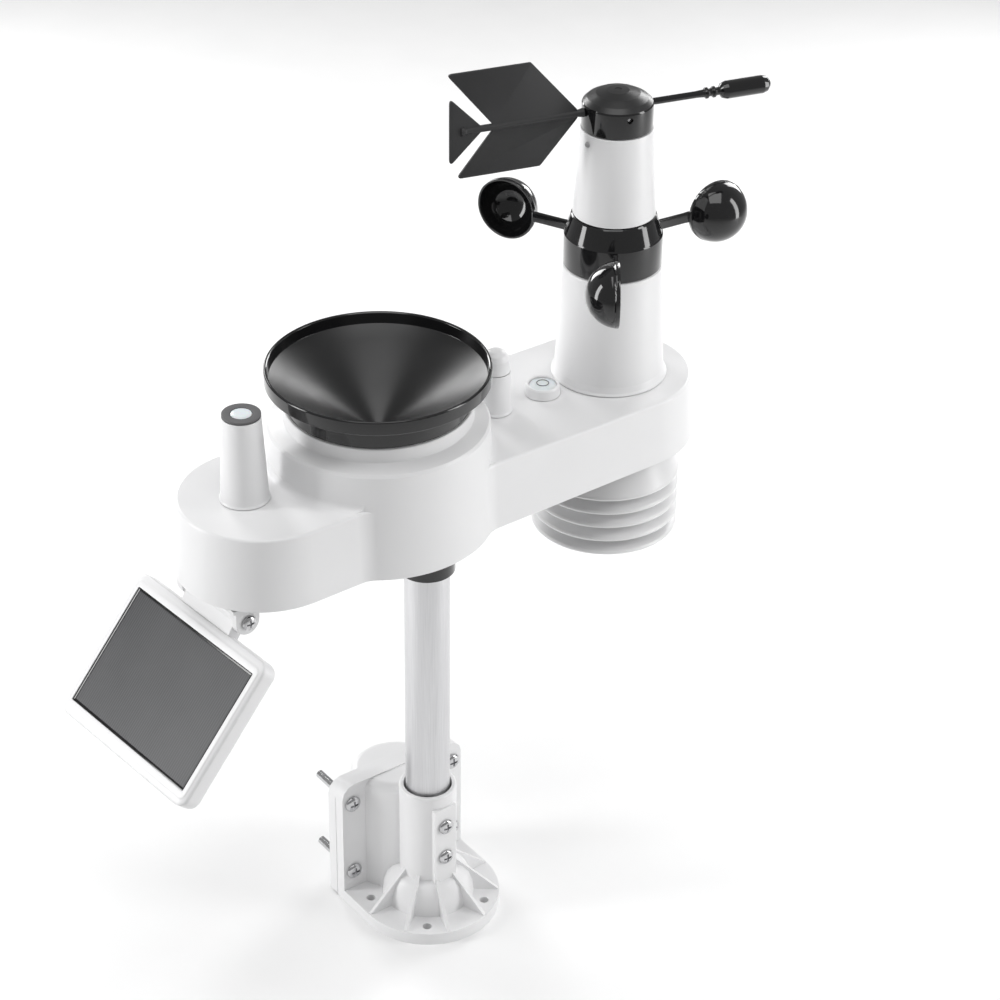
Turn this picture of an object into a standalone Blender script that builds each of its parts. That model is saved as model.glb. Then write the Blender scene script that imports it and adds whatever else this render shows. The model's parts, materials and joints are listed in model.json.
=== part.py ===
"""Outdoor weather sensor array on a short pole, with a foot that screws down or clamps to a mast.

Lengths are metres and +Z is up. The origin is on the pole's axis, at the underside of the foot. +X runs along
the arm to the wind tower, and -Y is the front, where the pole's two screws are.
"""

import math

import bmesh
import bpy
from mathutils import Matrix, Vector

MM = 0.001
GAP = 0.3 * MM  # between pieces that touch

# Pole and foot
POLE_RADIUS = 13 * MM
POLE_WALL = 1.2 * MM
POLE_TOP = 288 * MM
FOOT_RADIUS = 43 * MM
FOOT_THICKNESS = 8 * MM
FOOT_HOLE_CIRCLE = 35.5 * MM
FOOT_HOLE_RADIUS = 2.8 * MM
FOOT_HOLE_ANGLES = (-36, 36, -110, 110)
SOCKET_RADIUS = 17 * MM
SOCKET_BORE = 14.4 * MM
SOCKET_FLOOR = 10 * MM
SOCKET_TOP = 88 * MM
SOCKET_FLAT = 18.2 * MM  # the flat strip that the two screws' heads sit on
SOCKET_SCREW_HEIGHTS = (44.5 * MM, 67 * MM)
BELL_RADIUS = 27.5 * MM
BELL_TOP = 27 * MM
RIB_ANGLES = (-90, -54, -18, 18, 54, 90)
RIB_TIP_RADIUS = 42 * MM
RIB_THICKNESS = 2 * MM
RIB_TOP = 32 * MM

# Mast clamp: two halves with the mast's socket between them, closed at the top
CLAMP_FRONT = 26.5 * MM
CLAMP_SPLIT = 34 * MM
CLAMP_BACK = 42 * MM
CLAMP_TOP = 85 * MM
CLAMP_BACK_TOP = 82 * MM
CLAMP_BULGE_TOP = 79 * MM
CLAMP_CORNER = 9 * MM
CLAMP_HALF_WIDTH = 43 * MM
CLAMP_BULGE_RADIUS = 28 * MM
MAST_SOCKET_RADIUS = 16.2 * MM
MAST_SOCKET_ROOF = 4 * MM
BOLT_SPACING = 36 * MM
BOLT_HEIGHTS = (21 * MM, 71.5 * MM)
BOLT_END = 62 * MM

# Housing: two lobes joined by an arm, with the rain drum between them
LEFT_LOBE = -104.5 * MM
TOWER_X = 125.7 * MM
DRUM_X = -31 * MM
HOUSING_HALF_WIDTH = 49 * MM
DRUM_RADIUS = 63.2 * MM
HOUSING_FILLET = 15 * MM
HOUSING_BEVEL = 1.2 * MM
HOUSING_TOP = 326 * MM
HOUSING_DRAFT = 2.4 * MM
HOUSING_WALL = 2.5 * MM
UNDERSIDE = 283.8 * MM
UNDERSIDE_SLOPE = 0.0199
DRUM_PROUD = 0.05 * MM  # keeps the drum's side clear of the housing's own
DRUM_TOP = 347 * MM
DRUM_TOP_RADIUS = 58.9 * MM
COLLAR_RADIUS = 51.1 * MM
COLLAR_BORE = 49 * MM
COLLAR_TOP = 357.7 * MM
COVER_THICKNESS = 2.4 * MM
COVER_PROUD = 1.8 * MM
NECK_RADIUS = 16.1 * MM
NECK_BORE = 13.5 * MM
NECK_BOTTOM = 239.5 * MM

BUTTON_X = 52 * MM
BUTTON_Y = -30 * MM
DOOR_LENGTH = 56 * MM
DOOR_WIDTH = 38 * MM

# Rain funnel and tipping bucket
FUNNEL_RADIUS = 60.7 * MM
FUNNEL_TOP = 379.6 * MM
FUNNEL_BAND = 7.5 * MM
FUNNEL_LIP = 1.9 * MM
FUNNEL_SKIRT_RADIUS = 50 * MM
THROAT_HEIGHT = 340 * MM
THROAT_RADIUS = 3.5 * MM
SPOUT_BOTTOM = 331 * MM
BUCKET_PIVOT_HEIGHT = 309 * MM
BUCKET_TILT = 17
BUCKET_STOP_TOP = 303 * MM
CRADLE_BOTTOM = 287.5 * MM

# Posts, level and wind tower
POST_X = -114.6 * MM
POST_Y = 2.3 * MM
POST_HEIGHT = 50.8 * MM
ANTENNA_X = 46.4 * MM
LEVEL_X = 79 * MM
TOWER_BASE_RADIUS = 31.5 * MM
TOWER_NECK_RADIUS = 27.3 * MM
ROTOR_BOTTOM = 394.8 * MM
ROTOR_SHOULDER = 412.9 * MM
ROTOR_TOP = 424.9 * MM
ROTOR_RADIUS = 27.3 * MM
SPINDLE_RADIUS = 6 * MM
UPPER_CONE_RADIUS = 22.9 * MM
VANE_CAP_BOTTOM = 476.5 * MM
VANE_CAP_RADIUS = 19.4 * MM
VANE_CAP_TOP = 497.5 * MM
VANE_HEIGHT = 487 * MM
VANE_HEADING = -14.6
SET_SCREW_TURN = -3.4
CUP_CIRCLE = 67.8 * MM
CUP_HEIGHT = 409.5 * MM
CUP_RADIUS = 18.3 * MM
CUP_WALL = 1.3 * MM
CUP_HEADING = -5.6

# Radiation shield
SHIELD_RADIUS = 42.2 * MM
SHIELD_TOP = 283.5 * MM
SHIELD_LIPS = (264 * MM, 255 * MM, 246.1 * MM, 237.1 * MM)
SHIELD_BOTTOM = 228.2 * MM
SHIELD_SCREW_CIRCLE = 28 * MM
SHIELD_SCREW_ANGLES = (-90, 90)

# Solar panel
HINGE_X = -135.2 * MM
HINGE_Z = 270.5 * MM
HINGE_YAW = 4
PANEL_TILT = 48.3
PANEL_WIDTH = 115.8 * MM
PANEL_LENGTH = 87.4 * MM
PANEL_THICKNESS = 12.4 * MM
PANEL_SETBACK = 11.6 * MM
PANEL_CORNER = 6.5 * MM
PANEL_FRONT_OFFSET = 3.9 * MM
HINGE_TAB_HALF = 22 * MM

ROUND = 28  # sides of a large turned piece
MIDDLE_ROUND = 18
SMALL_ROUND = 10


def clear_scene():
    for obj in list(bpy.data.objects):
        bpy.data.objects.remove(obj, do_unlink=True)


def new_collection(name):
    collection = bpy.data.collections.new(name)
    bpy.context.scene.collection.children.link(collection)
    return collection


def new_material(name, colour, roughness, metallic=0.0, alpha=1.0):
    material = bpy.data.materials.new(name)
    material.use_nodes = True
    shader = material.node_tree.nodes["Principled BSDF"]
    shader.inputs["Base Color"].default_value = (*colour, 1)
    shader.inputs["Roughness"].default_value = roughness
    shader.inputs["Metallic"].default_value = metallic
    shader.inputs["Alpha"].default_value = alpha
    material.diffuse_color = (*colour, alpha)
    return material


clear_scene()
PARTS = new_collection("weather_sensor_array")
CUTTERS = new_collection("cutters")
WHITE = new_material("white_abs", (0.86, 0.86, 0.86), 0.38)
BLACK = new_material("gloss_black", (0.012, 0.012, 0.013), 0.18)
MATTE_BLACK = new_material("vane_black", (0.045, 0.045, 0.048), 0.62)
ALUMINIUM = new_material("aluminium", (0.78, 0.78, 0.79), 0.28, 1.0)
STEEL = new_material("steel", (0.6, 0.6, 0.61), 0.25, 1.0)
GREY = new_material("grey_plastic", (0.13, 0.13, 0.14), 0.45)
DIFFUSER = new_material("diffuser", (0.75, 0.76, 0.78), 0.3)
CLEAR = new_material("clear_plastic", (0.8, 0.84, 0.84), 0.08, 0.0, 0.4)
SOLAR = new_material("solar_cell", (0.06, 0.06, 0.065), 0.22)
BOARD = new_material("board", (0.02, 0.16, 0.07), 0.5)
BATTERY = new_material("battery", (0.2, 0.21, 0.23), 0.35, 0.6)


def place(mesh, name, material, location=(0, 0, 0), rotation=(0, 0, 0), parent=None):
    """Adds a mesh as a part. A parented part's location and rotation are in its parent's frame."""
    obj = bpy.data.objects.new(name, mesh)
    PARTS.objects.link(obj)
    obj.location = location
    obj.rotation_euler = rotation
    obj.parent = parent
    if not mesh.materials:
        mesh.materials.append(material)
    return obj


def empty(name, location, rotation=(0, 0, 0), parent=None):
    obj = bpy.data.objects.new(name, None)
    PARTS.objects.link(obj)
    obj.location = location
    obj.rotation_euler = rotation
    obj.parent = parent
    return obj


def mesh_from(bm, name, smooth_angle=35):
    """Turns a bmesh into a mesh, shaded smooth except at its sharp edges."""
    bmesh.ops.recalc_face_normals(bm, faces=bm.faces)
    mesh = bpy.data.meshes.new(name)
    bm.to_mesh(mesh)
    bm.free()
    mesh.shade_smooth()
    mesh.set_sharp_from_angle(angle=math.radians(smooth_angle))
    return mesh


def lathe(name, profile, material, location=(0, 0, 0), rotation=(0, 0, 0), steps=ROUND, ring=False, parent=None):
    """Turns a profile of (radius, height) about Z, listed down its outer side. A ring's profile is a closed loop."""
    bm = bmesh.new()
    points = [bm.verts.new((radius, 0, height)) for radius, height in profile]
    for first, second in zip(points, points[1:]):
        bm.edges.new((first, second))
    if ring:
        bm.edges.new((points[-1], points[0]))
    mesh = bpy.data.meshes.new(name)
    bm.to_mesh(mesh)
    bm.free()
    obj = place(mesh, name, material, location, rotation, parent)
    screw = obj.modifiers.new("Turn", "SCREW")
    screw.steps = steps
    screw.render_steps = steps
    screw.use_merge_vertices = True
    screw.merge_threshold = 0.00001
    return obj


def prism(name, outline, low, high, material, location=(0, 0, 0), rotation=(0, 0, 0), parent=None):
    """Extrudes a flat outline of (x, y) points from one height to another."""
    bm = bmesh.new()
    face = bm.faces.new([bm.verts.new((x, y, low)) for x, y in outline])
    raised = bmesh.ops.extrude_face_region(bm, geom=[face])["geom"]
    for item in raised:
        if isinstance(item, bmesh.types.BMVert):
            item.co.z = high
    return place(mesh_from(bm, name), name, material, location, rotation, parent)


def loft(name, rings, material, parent=None):
    """Skins rings of equal length, and caps the first and the last."""
    bm = bmesh.new()
    loops = [[bm.verts.new(point) for point in ring] for ring in rings]
    for lower, upper in zip(loops, loops[1:]):
        for i, corner in enumerate(lower):
            after = (i + 1) % len(lower)
            bm.faces.new((corner, lower[after], upper[after], upper[i]))
    bm.faces.new(loops[0])
    bm.faces.new(loops[-1])
    return place(mesh_from(bm, name), name, material, parent=parent)


def box(name, low, high, material, bevel=0.0, location=(0, 0, 0), rotation=(0, 0, 0), parent=None):
    """Makes a box from its lowest corner to its highest, with rounded edges if a bevel is given."""
    low = Vector(low)
    high = Vector(high)
    bm = bmesh.new()
    fit = Matrix.Translation((low + high) / 2) @ Matrix.Diagonal((*(high - low), 1))
    bmesh.ops.create_cube(bm, size=1, matrix=fit)
    if bevel:
        bmesh.ops.bevel(bm, geom=bm.edges[:], offset=bevel, segments=2, profile=0.5, affect="EDGES")
    return place(mesh_from(bm, name), name, material, location, rotation, parent)


def cylinder(name, radius, low, high, material, location=(0, 0, 0), rotation=(0, 0, 0), steps=SMALL_ROUND,
             parent=None):
    """Makes a closed cylinder along its own Z."""
    bm = bmesh.new()
    middle = Matrix.Translation((0, 0, (low + high) / 2))
    bmesh.ops.create_cone(bm, cap_ends=True, segments=steps, radius1=radius, radius2=radius, depth=high - low,
                          matrix=middle)
    return place(mesh_from(bm, name), name, material, location, rotation, parent)


def combine(target, tool, operation):
    """Cuts a tool from a target, or joins it on. The tool is kept out of the model."""
    for collection in list(tool.users_collection):
        collection.objects.unlink(tool)
    CUTTERS.objects.link(tool)
    tool.hide_render = True
    tool.display_type = "WIRE"
    modifier = target.modifiers.new(operation.title(), "BOOLEAN")
    modifier.operation = operation
    modifier.object = tool
    modifier.solver = "EXACT"


def cut(target, *tools):
    for tool in tools:
        combine(target, tool, "DIFFERENCE")


def join(target, *tools):
    for tool in tools:
        combine(target, tool, "UNION")


def arc(centre, radius, start, end, steps):
    """Points on an arc from one angle to another, in degrees, both ends included."""
    points = []
    for i in range(steps + 1):
        angle = math.radians(start + (end - start) * i / steps)
        points.append((centre[0] + radius * math.cos(angle), centre[1] + radius * math.sin(angle)))
    return points


def around(angle, radius, height):
    """A point at an angle in degrees from the front, -Y, turning towards +X."""
    turn = math.radians(angle)
    return Vector((radius * math.sin(turn), -radius * math.cos(turn), height))


def phillips_screw(name, head, shank, location, rotation=(0, 0, 0), parent=None):
    """A cross-head screw. Head and shank are (radius, length), and the shank runs down from the head's underside."""
    radius, height = head
    shank_radius, length = shank
    profile = [
        (0, height),
        (radius * 0.75, height),
        (radius, height * 0.3),
        (radius, 0),
        (shank_radius, 0),
        (shank_radius, -length),
        (0, -length),
    ]
    screw = lathe(name, profile, STEEL, location, rotation, SMALL_ROUND, parent=parent)
    long = radius * 0.6
    thin = radius * 0.14
    cross = [(thin, thin), (thin, long), (-thin, long), (-thin, thin), (-long, thin), (-long, -thin)]
    cross += [(-x, -y) for x, y in cross]
    recess = prism(f"{name}_recess", cross, height * 0.4, height * 2, STEEL, location, rotation, parent)
    cut(screw, recess)
    return screw


# Foot and mast clamp


def foot_outline(radius):
    """The foot in plan: a half circle in front and straight sides back into the clamp."""
    return arc((0, 0), radius, 180, 360, 16) + [(radius, CLAMP_FRONT + 3 * MM), (-radius, CLAMP_FRONT + 3 * MM)]


def plate_outline(low, top, corner):
    """One clamp half seen from the front, with rounded top corners."""
    side = CLAMP_HALF_WIDTH
    right = arc((side - corner, top - corner), corner, 0, 90, 3)
    left = arc((-side + corner, top - corner), corner, 90, 180, 3)
    return [(side, low)] + right + left + [(-side, low)]


def clamp_half(name, front, back, top, bulge_top):
    """A flat plate on a round bulge. The bulge is whole, so it still has to be cut at the split."""
    below = -2 * MM
    plate = prism(name, plate_outline(below, top, CLAMP_CORNER), -back, -front, WHITE, rotation=(math.pi / 2, 0, 0))
    rim = CLAMP_BULGE_RADIUS
    soft = 6 * MM
    profile = [(0, bulge_top)]
    for i in range(4):
        turn = math.radians(30 * i)
        profile.append((rim - soft + soft * math.sin(turn), bulge_top - soft + soft * math.cos(turn)))
    profile += [(rim, below - 1 * MM), (0, below - 1 * MM)]
    return plate, lathe(f"{name}_bulge", profile, WHITE, (0, CLAMP_SPLIT, 0))


def mast_cutter(name, top):
    return cylinder(name, MAST_SOCKET_RADIUS, -10 * MM, top, WHITE, (0, CLAMP_SPLIT, 0), steps=MIDDLE_ROUND)


def cut_bolt_holes(target):
    for side in (-1, 1):
        for height in BOLT_HEIGHTS:
            cut(target, cylinder(f"{target.name}_hole", 2.9 * MM, 15 * MM, 70 * MM, WHITE,
                                 (side * BOLT_SPACING, 0, height), (-math.pi / 2, 0, 0)))


def build_foot():
    bracket = prism("base_bracket", foot_outline(FOOT_RADIUS), -1 * MM, FOOT_THICKNESS, WHITE)
    bell = [(0, SOCKET_TOP), (SOCKET_RADIUS - 0.8 * MM, SOCKET_TOP), (SOCKET_RADIUS, SOCKET_TOP - 0.8 * MM)]
    for i in range(5):
        turn = math.radians(22.5 * i)
        bell.append((SOCKET_RADIUS + (BELL_RADIUS - SOCKET_RADIUS) * math.sin(turn),
                     FOOT_THICKNESS + (BELL_TOP - FOOT_THICKNESS) * math.cos(turn)))
    bell += [(BELL_RADIUS, 2 * MM), (0, 2 * MM)]
    join(bracket, lathe("bell", bell, WHITE))
    join(bracket, box("strip", (-7.5 * MM, -SOCKET_FLAT, 15 * MM), (7.5 * MM, -14.6 * MM, SOCKET_TOP - 8 * MM), WHITE))
    half = RIB_THICKNESS / 2
    for angle in RIB_ANGLES:
        slope = [(18 * MM, 5 * MM), (RIB_TIP_RADIUS, 5 * MM), (RIB_TIP_RADIUS, FOOT_THICKNESS + 0.6 * MM),
                 (16 * MM, RIB_TOP)]
        turn = Matrix.Rotation(math.radians(angle - 90), 4, "Z") @ Matrix.Rotation(math.pi / 2, 4, "X")
        join(bracket, prism(f"rib_{angle}", slope, -half, half, WHITE, rotation=turn.to_euler()))
    join(bracket, *clamp_half("front_half", CLAMP_FRONT, CLAMP_SPLIT + 5 * MM, CLAMP_TOP, CLAMP_TOP - 0.6 * MM))
    wide = 70 * MM
    cut(bracket, box("behind_split", (-wide, CLAMP_SPLIT - GAP, -20 * MM), (wide, wide * 2, 200 * MM), WHITE))
    cut(bracket, box("below_foot", (-wide, -wide, -20 * MM), (wide, wide, 0), WHITE))
    cut(bracket, mast_cutter("front_mast", CLAMP_BACK_TOP - MAST_SOCKET_ROOF))
    cut(bracket, cylinder("bore", SOCKET_BORE, SOCKET_FLOOR, SOCKET_TOP + 5 * MM, WHITE, steps=ROUND))
    for angle in FOOT_HOLE_ANGLES:
        cut(bracket, cylinder(f"foot_hole_{angle}", FOOT_HOLE_RADIUS, -2 * MM, FOOT_THICKNESS + 12 * MM, WHITE,
                              around(angle, FOOT_HOLE_CIRCLE, 0)))
    for height in SOCKET_SCREW_HEIGHTS:
        cut(bracket, cylinder("socket_screw_hole", 2.6 * MM, 0, 30 * MM, WHITE, (0, 0, height),
                              (math.pi / 2, 0, 0)))
    cut_bolt_holes(bracket)

    clamp, bulge = clamp_half("mast_clamp", CLAMP_SPLIT + GAP, CLAMP_BACK, CLAMP_BACK_TOP, CLAMP_BULGE_TOP)
    join(clamp, bulge)
    cut(clamp, box("before_split", (-wide, -wide, -20 * MM), (wide, CLAMP_SPLIT + GAP, 200 * MM), WHITE))
    cut(clamp, box("below_clamp", (-wide, -wide, -20 * MM), (wide, wide * 2, 1 * MM), WHITE))
    cut(clamp, mast_cutter("back_mast", CLAMP_BULGE_TOP - MAST_SOCKET_ROOF))
    cut_bolt_holes(clamp)


def build_fasteners():
    head_out = SOCKET_FLAT + GAP
    for number, height in enumerate(SOCKET_SCREW_HEIGHTS, 1):
        reach = head_out - POLE_RADIUS - GAP
        phillips_screw(f"socket_screw_{number}", (4.8 * MM, 2.5 * MM), (2.2 * MM, reach), (0, -head_out, height),
                       (math.pi / 2, 0, 0))
    number = 0
    for height in BOLT_HEIGHTS:
        for side in (-1, 1):
            number += 1
            phillips_screw(f"clamp_bolt_{number}", (5 * MM, 2.6 * MM), (2.5 * MM, BOLT_END - CLAMP_FRONT),
                           (side * BOLT_SPACING, CLAMP_FRONT - GAP, height), (math.pi / 2, 0, 0))


def build_pole():
    bore = POLE_RADIUS - POLE_WALL
    low = SOCKET_FLOOR + GAP
    profile = [(bore, POLE_TOP), (POLE_RADIUS, POLE_TOP), (POLE_RADIUS, low), (bore, low)]
    lathe("mast_pole", profile, ALUMINIUM, ring=True)
    flange = NECK_RADIUS + 6 * MM
    flange_low = 288.8 * MM
    flange_top = 291.3 * MM
    neck = [(NECK_BORE, flange_top), (flange, flange_top), (flange, flange_low), (NECK_RADIUS, flange_low),
            (NECK_RADIUS, NECK_BOTTOM), (NECK_BORE, NECK_BOTTOM)]
    collar = lathe("pole_collar", neck, BLACK, ring=True)
    screw_height = 252 * MM
    cut(collar, cylinder("collar_hole", 1.9 * MM, 0, 30 * MM, BLACK, (0, 0, screw_height), (-math.pi / 2, 0, 0)))
    head_out = NECK_RADIUS + GAP
    phillips_screw("collar_screw", (3 * MM, 1.8 * MM), (1.6 * MM, head_out - POLE_RADIUS - GAP),
                   (0, head_out, screw_height), (-math.pi / 2, 0, 0))


# Housing


def drum_blend():
    """Where a fillet's centre lies from the drum's, and the angle at which it meets the drum."""
    rise = HOUSING_HALF_WIDTH + HOUSING_FILLET
    run = math.sqrt((DRUM_RADIUS + HOUSING_FILLET) ** 2 - rise ** 2)
    return run, rise, math.degrees(math.atan2(rise, run))


def housing_outline(inset):
    """The housing in plan, moved inwards by an inset: two lobes and the drum, blended by hollow fillets."""
    run, rise, lean = drum_blend()
    lobe = HOUSING_HALF_WIDTH - inset
    drum = DRUM_RADIUS - inset
    blend = HOUSING_FILLET + inset
    outline = arc((TOWER_X, 0), lobe, -90, 90, 12)
    outline += arc((DRUM_X + run, rise), blend, 270, 180 + lean, 4)
    outline += arc((DRUM_X, 0), drum, lean, 180 - lean, 8)[1:-1]
    outline += arc((DRUM_X - run, rise), blend, 360 - lean, 270, 4)
    outline += arc((LEFT_LOBE, 0), lobe, 90, 270, 12)
    outline += arc((DRUM_X - run, -rise), blend, 90, lean, 4)
    outline += arc((DRUM_X, 0), drum, 180 + lean, 360 - lean, 8)[1:-1]
    outline += arc((DRUM_X + run, -rise), blend, 180 - lean, 90, 4)
    return outline


def underside(x):
    """Height of the housing's rim, which rises slightly towards the wind tower."""
    return UNDERSIDE + UNDERSIDE_SLOPE * (x - LEFT_LOBE)


def level_ring(inset, height):
    return [(x, y, height) for x, y in housing_outline(inset)]


def sloped_ring(inset, offset):
    return [(x, y, underside(x) + offset) for x, y in housing_outline(inset)]


def drum_ring(radius, height):
    """A circle about the drum's axis, with its corners where the housing's outline has them."""
    lean = drum_blend()[2]
    ring = []
    for start, end, steps in ((lean, 180 - lean, 8), (180 - lean, 180 + lean, 10), (180 + lean, 360 - lean, 8),
                              (360 - lean, 360 + lean, 10)):
        ring += [(x, y, height) for x, y in arc((DRUM_X, 0), radius, start, end, steps)[:-1]]
    return ring


def build_housing():
    edge = HOUSING_BEVEL
    rings = [
        sloped_ring(0, 0),
        level_ring(HOUSING_DRAFT, HOUSING_TOP - edge),
        level_ring(HOUSING_DRAFT + edge, HOUSING_TOP),
    ]
    shell = loft("housing_shell", rings, WHITE)
    centre = (DRUM_X, 0, 0)
    base = DRUM_RADIUS - HOUSING_DRAFT
    drum_low = HOUSING_TOP - 6 * MM
    rim = underside(DRUM_X)
    drum_low_radius = DRUM_RADIUS - HOUSING_DRAFT * (drum_low - rim) / (HOUSING_TOP - edge - rim)
    join(shell, loft("drum", [
        drum_ring(drum_low_radius + DRUM_PROUD, drum_low),
        drum_ring(base + DRUM_PROUD, HOUSING_TOP),
        drum_ring(DRUM_TOP_RADIUS + 1.2 * MM, DRUM_TOP - 1.2 * MM),
        drum_ring(DRUM_TOP_RADIUS, DRUM_TOP),
        drum_ring(COLLAR_RADIUS, DRUM_TOP + 2.8 * MM),
        drum_ring(COLLAR_RADIUS, COLLAR_TOP),
    ], WHITE))
    hollow = loft("housing_hollow", [
        sloped_ring(HOUSING_WALL, -5 * MM),
        level_ring(HOUSING_WALL + HOUSING_DRAFT, HOUSING_TOP - HOUSING_WALL),
    ], WHITE)
    wall = HOUSING_WALL
    well = [(0, COLLAR_TOP + 5 * MM), (COLLAR_BORE, COLLAR_TOP + 5 * MM), (COLLAR_BORE, DRUM_TOP + 0.5 * MM),
            (DRUM_TOP_RADIUS - wall, DRUM_TOP - 2 * MM), (base - 0.4 * MM - wall, HOUSING_TOP - 6 * MM),
            (0, HOUSING_TOP - 6 * MM)]
    cut(shell, hollow, lathe("drum_hollow", well, WHITE, centre))
    cable_hole = (TOWER_X, 0, 0)
    cut(shell, cylinder("tower_cable_hole", 11 * MM, HOUSING_TOP - 10 * MM, HOUSING_TOP + 10 * MM, WHITE, cable_hole))
    cut(shell, cylinder("post_cable_hole", 5 * MM, HOUSING_TOP - 10 * MM, HOUSING_TOP + 10 * MM, WHITE,
                        (POST_X, POST_Y, 0)))
    cut(shell, cylinder("antenna_hole", 5 * MM, HOUSING_TOP - 10 * MM, HOUSING_TOP + 10 * MM, WHITE,
                        (ANTENNA_X, 0, 0)))

    inset = HOUSING_WALL + GAP
    lip = -COVER_PROUD
    cover = loft("underside_cover", [
        sloped_ring(inset + 0.4 * MM, lip),
        sloped_ring(inset + 0.4 * MM, lip + COVER_THICKNESS),
    ], BLACK)
    cut(cover, cylinder("neck_hole", NECK_RADIUS + 0.6 * MM, 270 * MM, 300 * MM, BLACK, steps=MIDDLE_ROUND))
    for side in (-1, 1):
        drain_at = (DRUM_X + side * 22 * MM, 0, 0)
        cut(cover, cylinder("drain_hole", 4 * MM, 270 * MM, 300 * MM, BLACK, drain_at))
    cut(cover, box("battery_opening", (BUTTON_X - DOOR_LENGTH / 2, -DOOR_WIDTH / 2, 270 * MM),
                   (BUTTON_X + DOOR_LENGTH / 2, DOOR_WIDTH / 2, 300 * MM), BLACK))
    cut(cover, cylinder("button_opening", 3.2 * MM, 270 * MM, 300 * MM, BLACK, (BUTTON_X, BUTTON_Y, 0)))
    cut(cover, cylinder("sensor_cable_hole", 6 * MM, 270 * MM, 300 * MM, BLACK, (TOWER_X, 0, 0)))


def build_posts():
    floor = HOUSING_TOP + GAP
    profile = [(0, POST_HEIGHT - 1.5 * MM), (10.4 * MM, POST_HEIGHT - 1.5 * MM), (13 * MM, 1.5 * MM), (14 * MM, 0),
               (11.4 * MM, 0), (8.2 * MM, POST_HEIGHT - 4 * MM), (0, POST_HEIGHT - 4 * MM)]
    lathe("light_post", profile, WHITE, (POST_X, POST_Y, floor), steps=MIDDLE_ROUND)
    ring = [(5.9 * MM, POST_HEIGHT), (10.4 * MM, POST_HEIGHT), (10.4 * MM, POST_HEIGHT - 1.2 * MM),
            (5.9 * MM, POST_HEIGHT - 1.2 * MM)]
    lathe("light_ring", ring, GREY, (POST_X, POST_Y, floor), steps=MIDDLE_ROUND, ring=True)
    disc = [(0, POST_HEIGHT + 0.3 * MM), (4 * MM, POST_HEIGHT + 0.2 * MM), (5.6 * MM, POST_HEIGHT - 0.2 * MM),
            (5.6 * MM, POST_HEIGHT - 1.2 * MM), (0, POST_HEIGHT - 1.2 * MM)]
    lathe("light_diffuser", disc, DIFFUSER, (POST_X, POST_Y, floor), steps=MIDDLE_ROUND)

    seam = 24.6 * MM
    stub = [(0, seam), (8.1 * MM, seam), (9 * MM, 1.5 * MM), (9.8 * MM, 0), (7.2 * MM, 0), (6.4 * MM, seam - 2 * MM),
            (0, seam - 2 * MM)]
    lathe("antenna_post", stub, WHITE, (ANTENNA_X, 0, floor), steps=MIDDLE_ROUND)
    cap = [(0, 38 * MM), (3.4 * MM, 37.4 * MM), (6 * MM, 35.6 * MM), (7.6 * MM, 32.6 * MM), (8 * MM, seam + GAP),
           (0, seam + GAP)]
    lathe("antenna_cap", cap, WHITE, (ANTENNA_X, 0, floor), steps=MIDDLE_ROUND)

    cup = [(0, 1.5 * MM), (7.9 * MM, 1.5 * MM), (7.9 * MM, 6 * MM), (9 * MM, 6 * MM), (9.6 * MM, 5 * MM),
           (9.9 * MM, 0), (0, 0)]
    lathe("level_cup", cup, WHITE, (LEVEL_X, 0, floor), steps=MIDDLE_ROUND)
    vial = [(0, 6.2 * MM), (5 * MM, 5.9 * MM), (7.6 * MM, 5 * MM), (7.6 * MM, 1.8 * MM), (0, 1.8 * MM)]
    lathe("level_vial", vial, CLEAR, (LEVEL_X, 0, floor), steps=MIDDLE_ROUND)


# Wind tower


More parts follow.
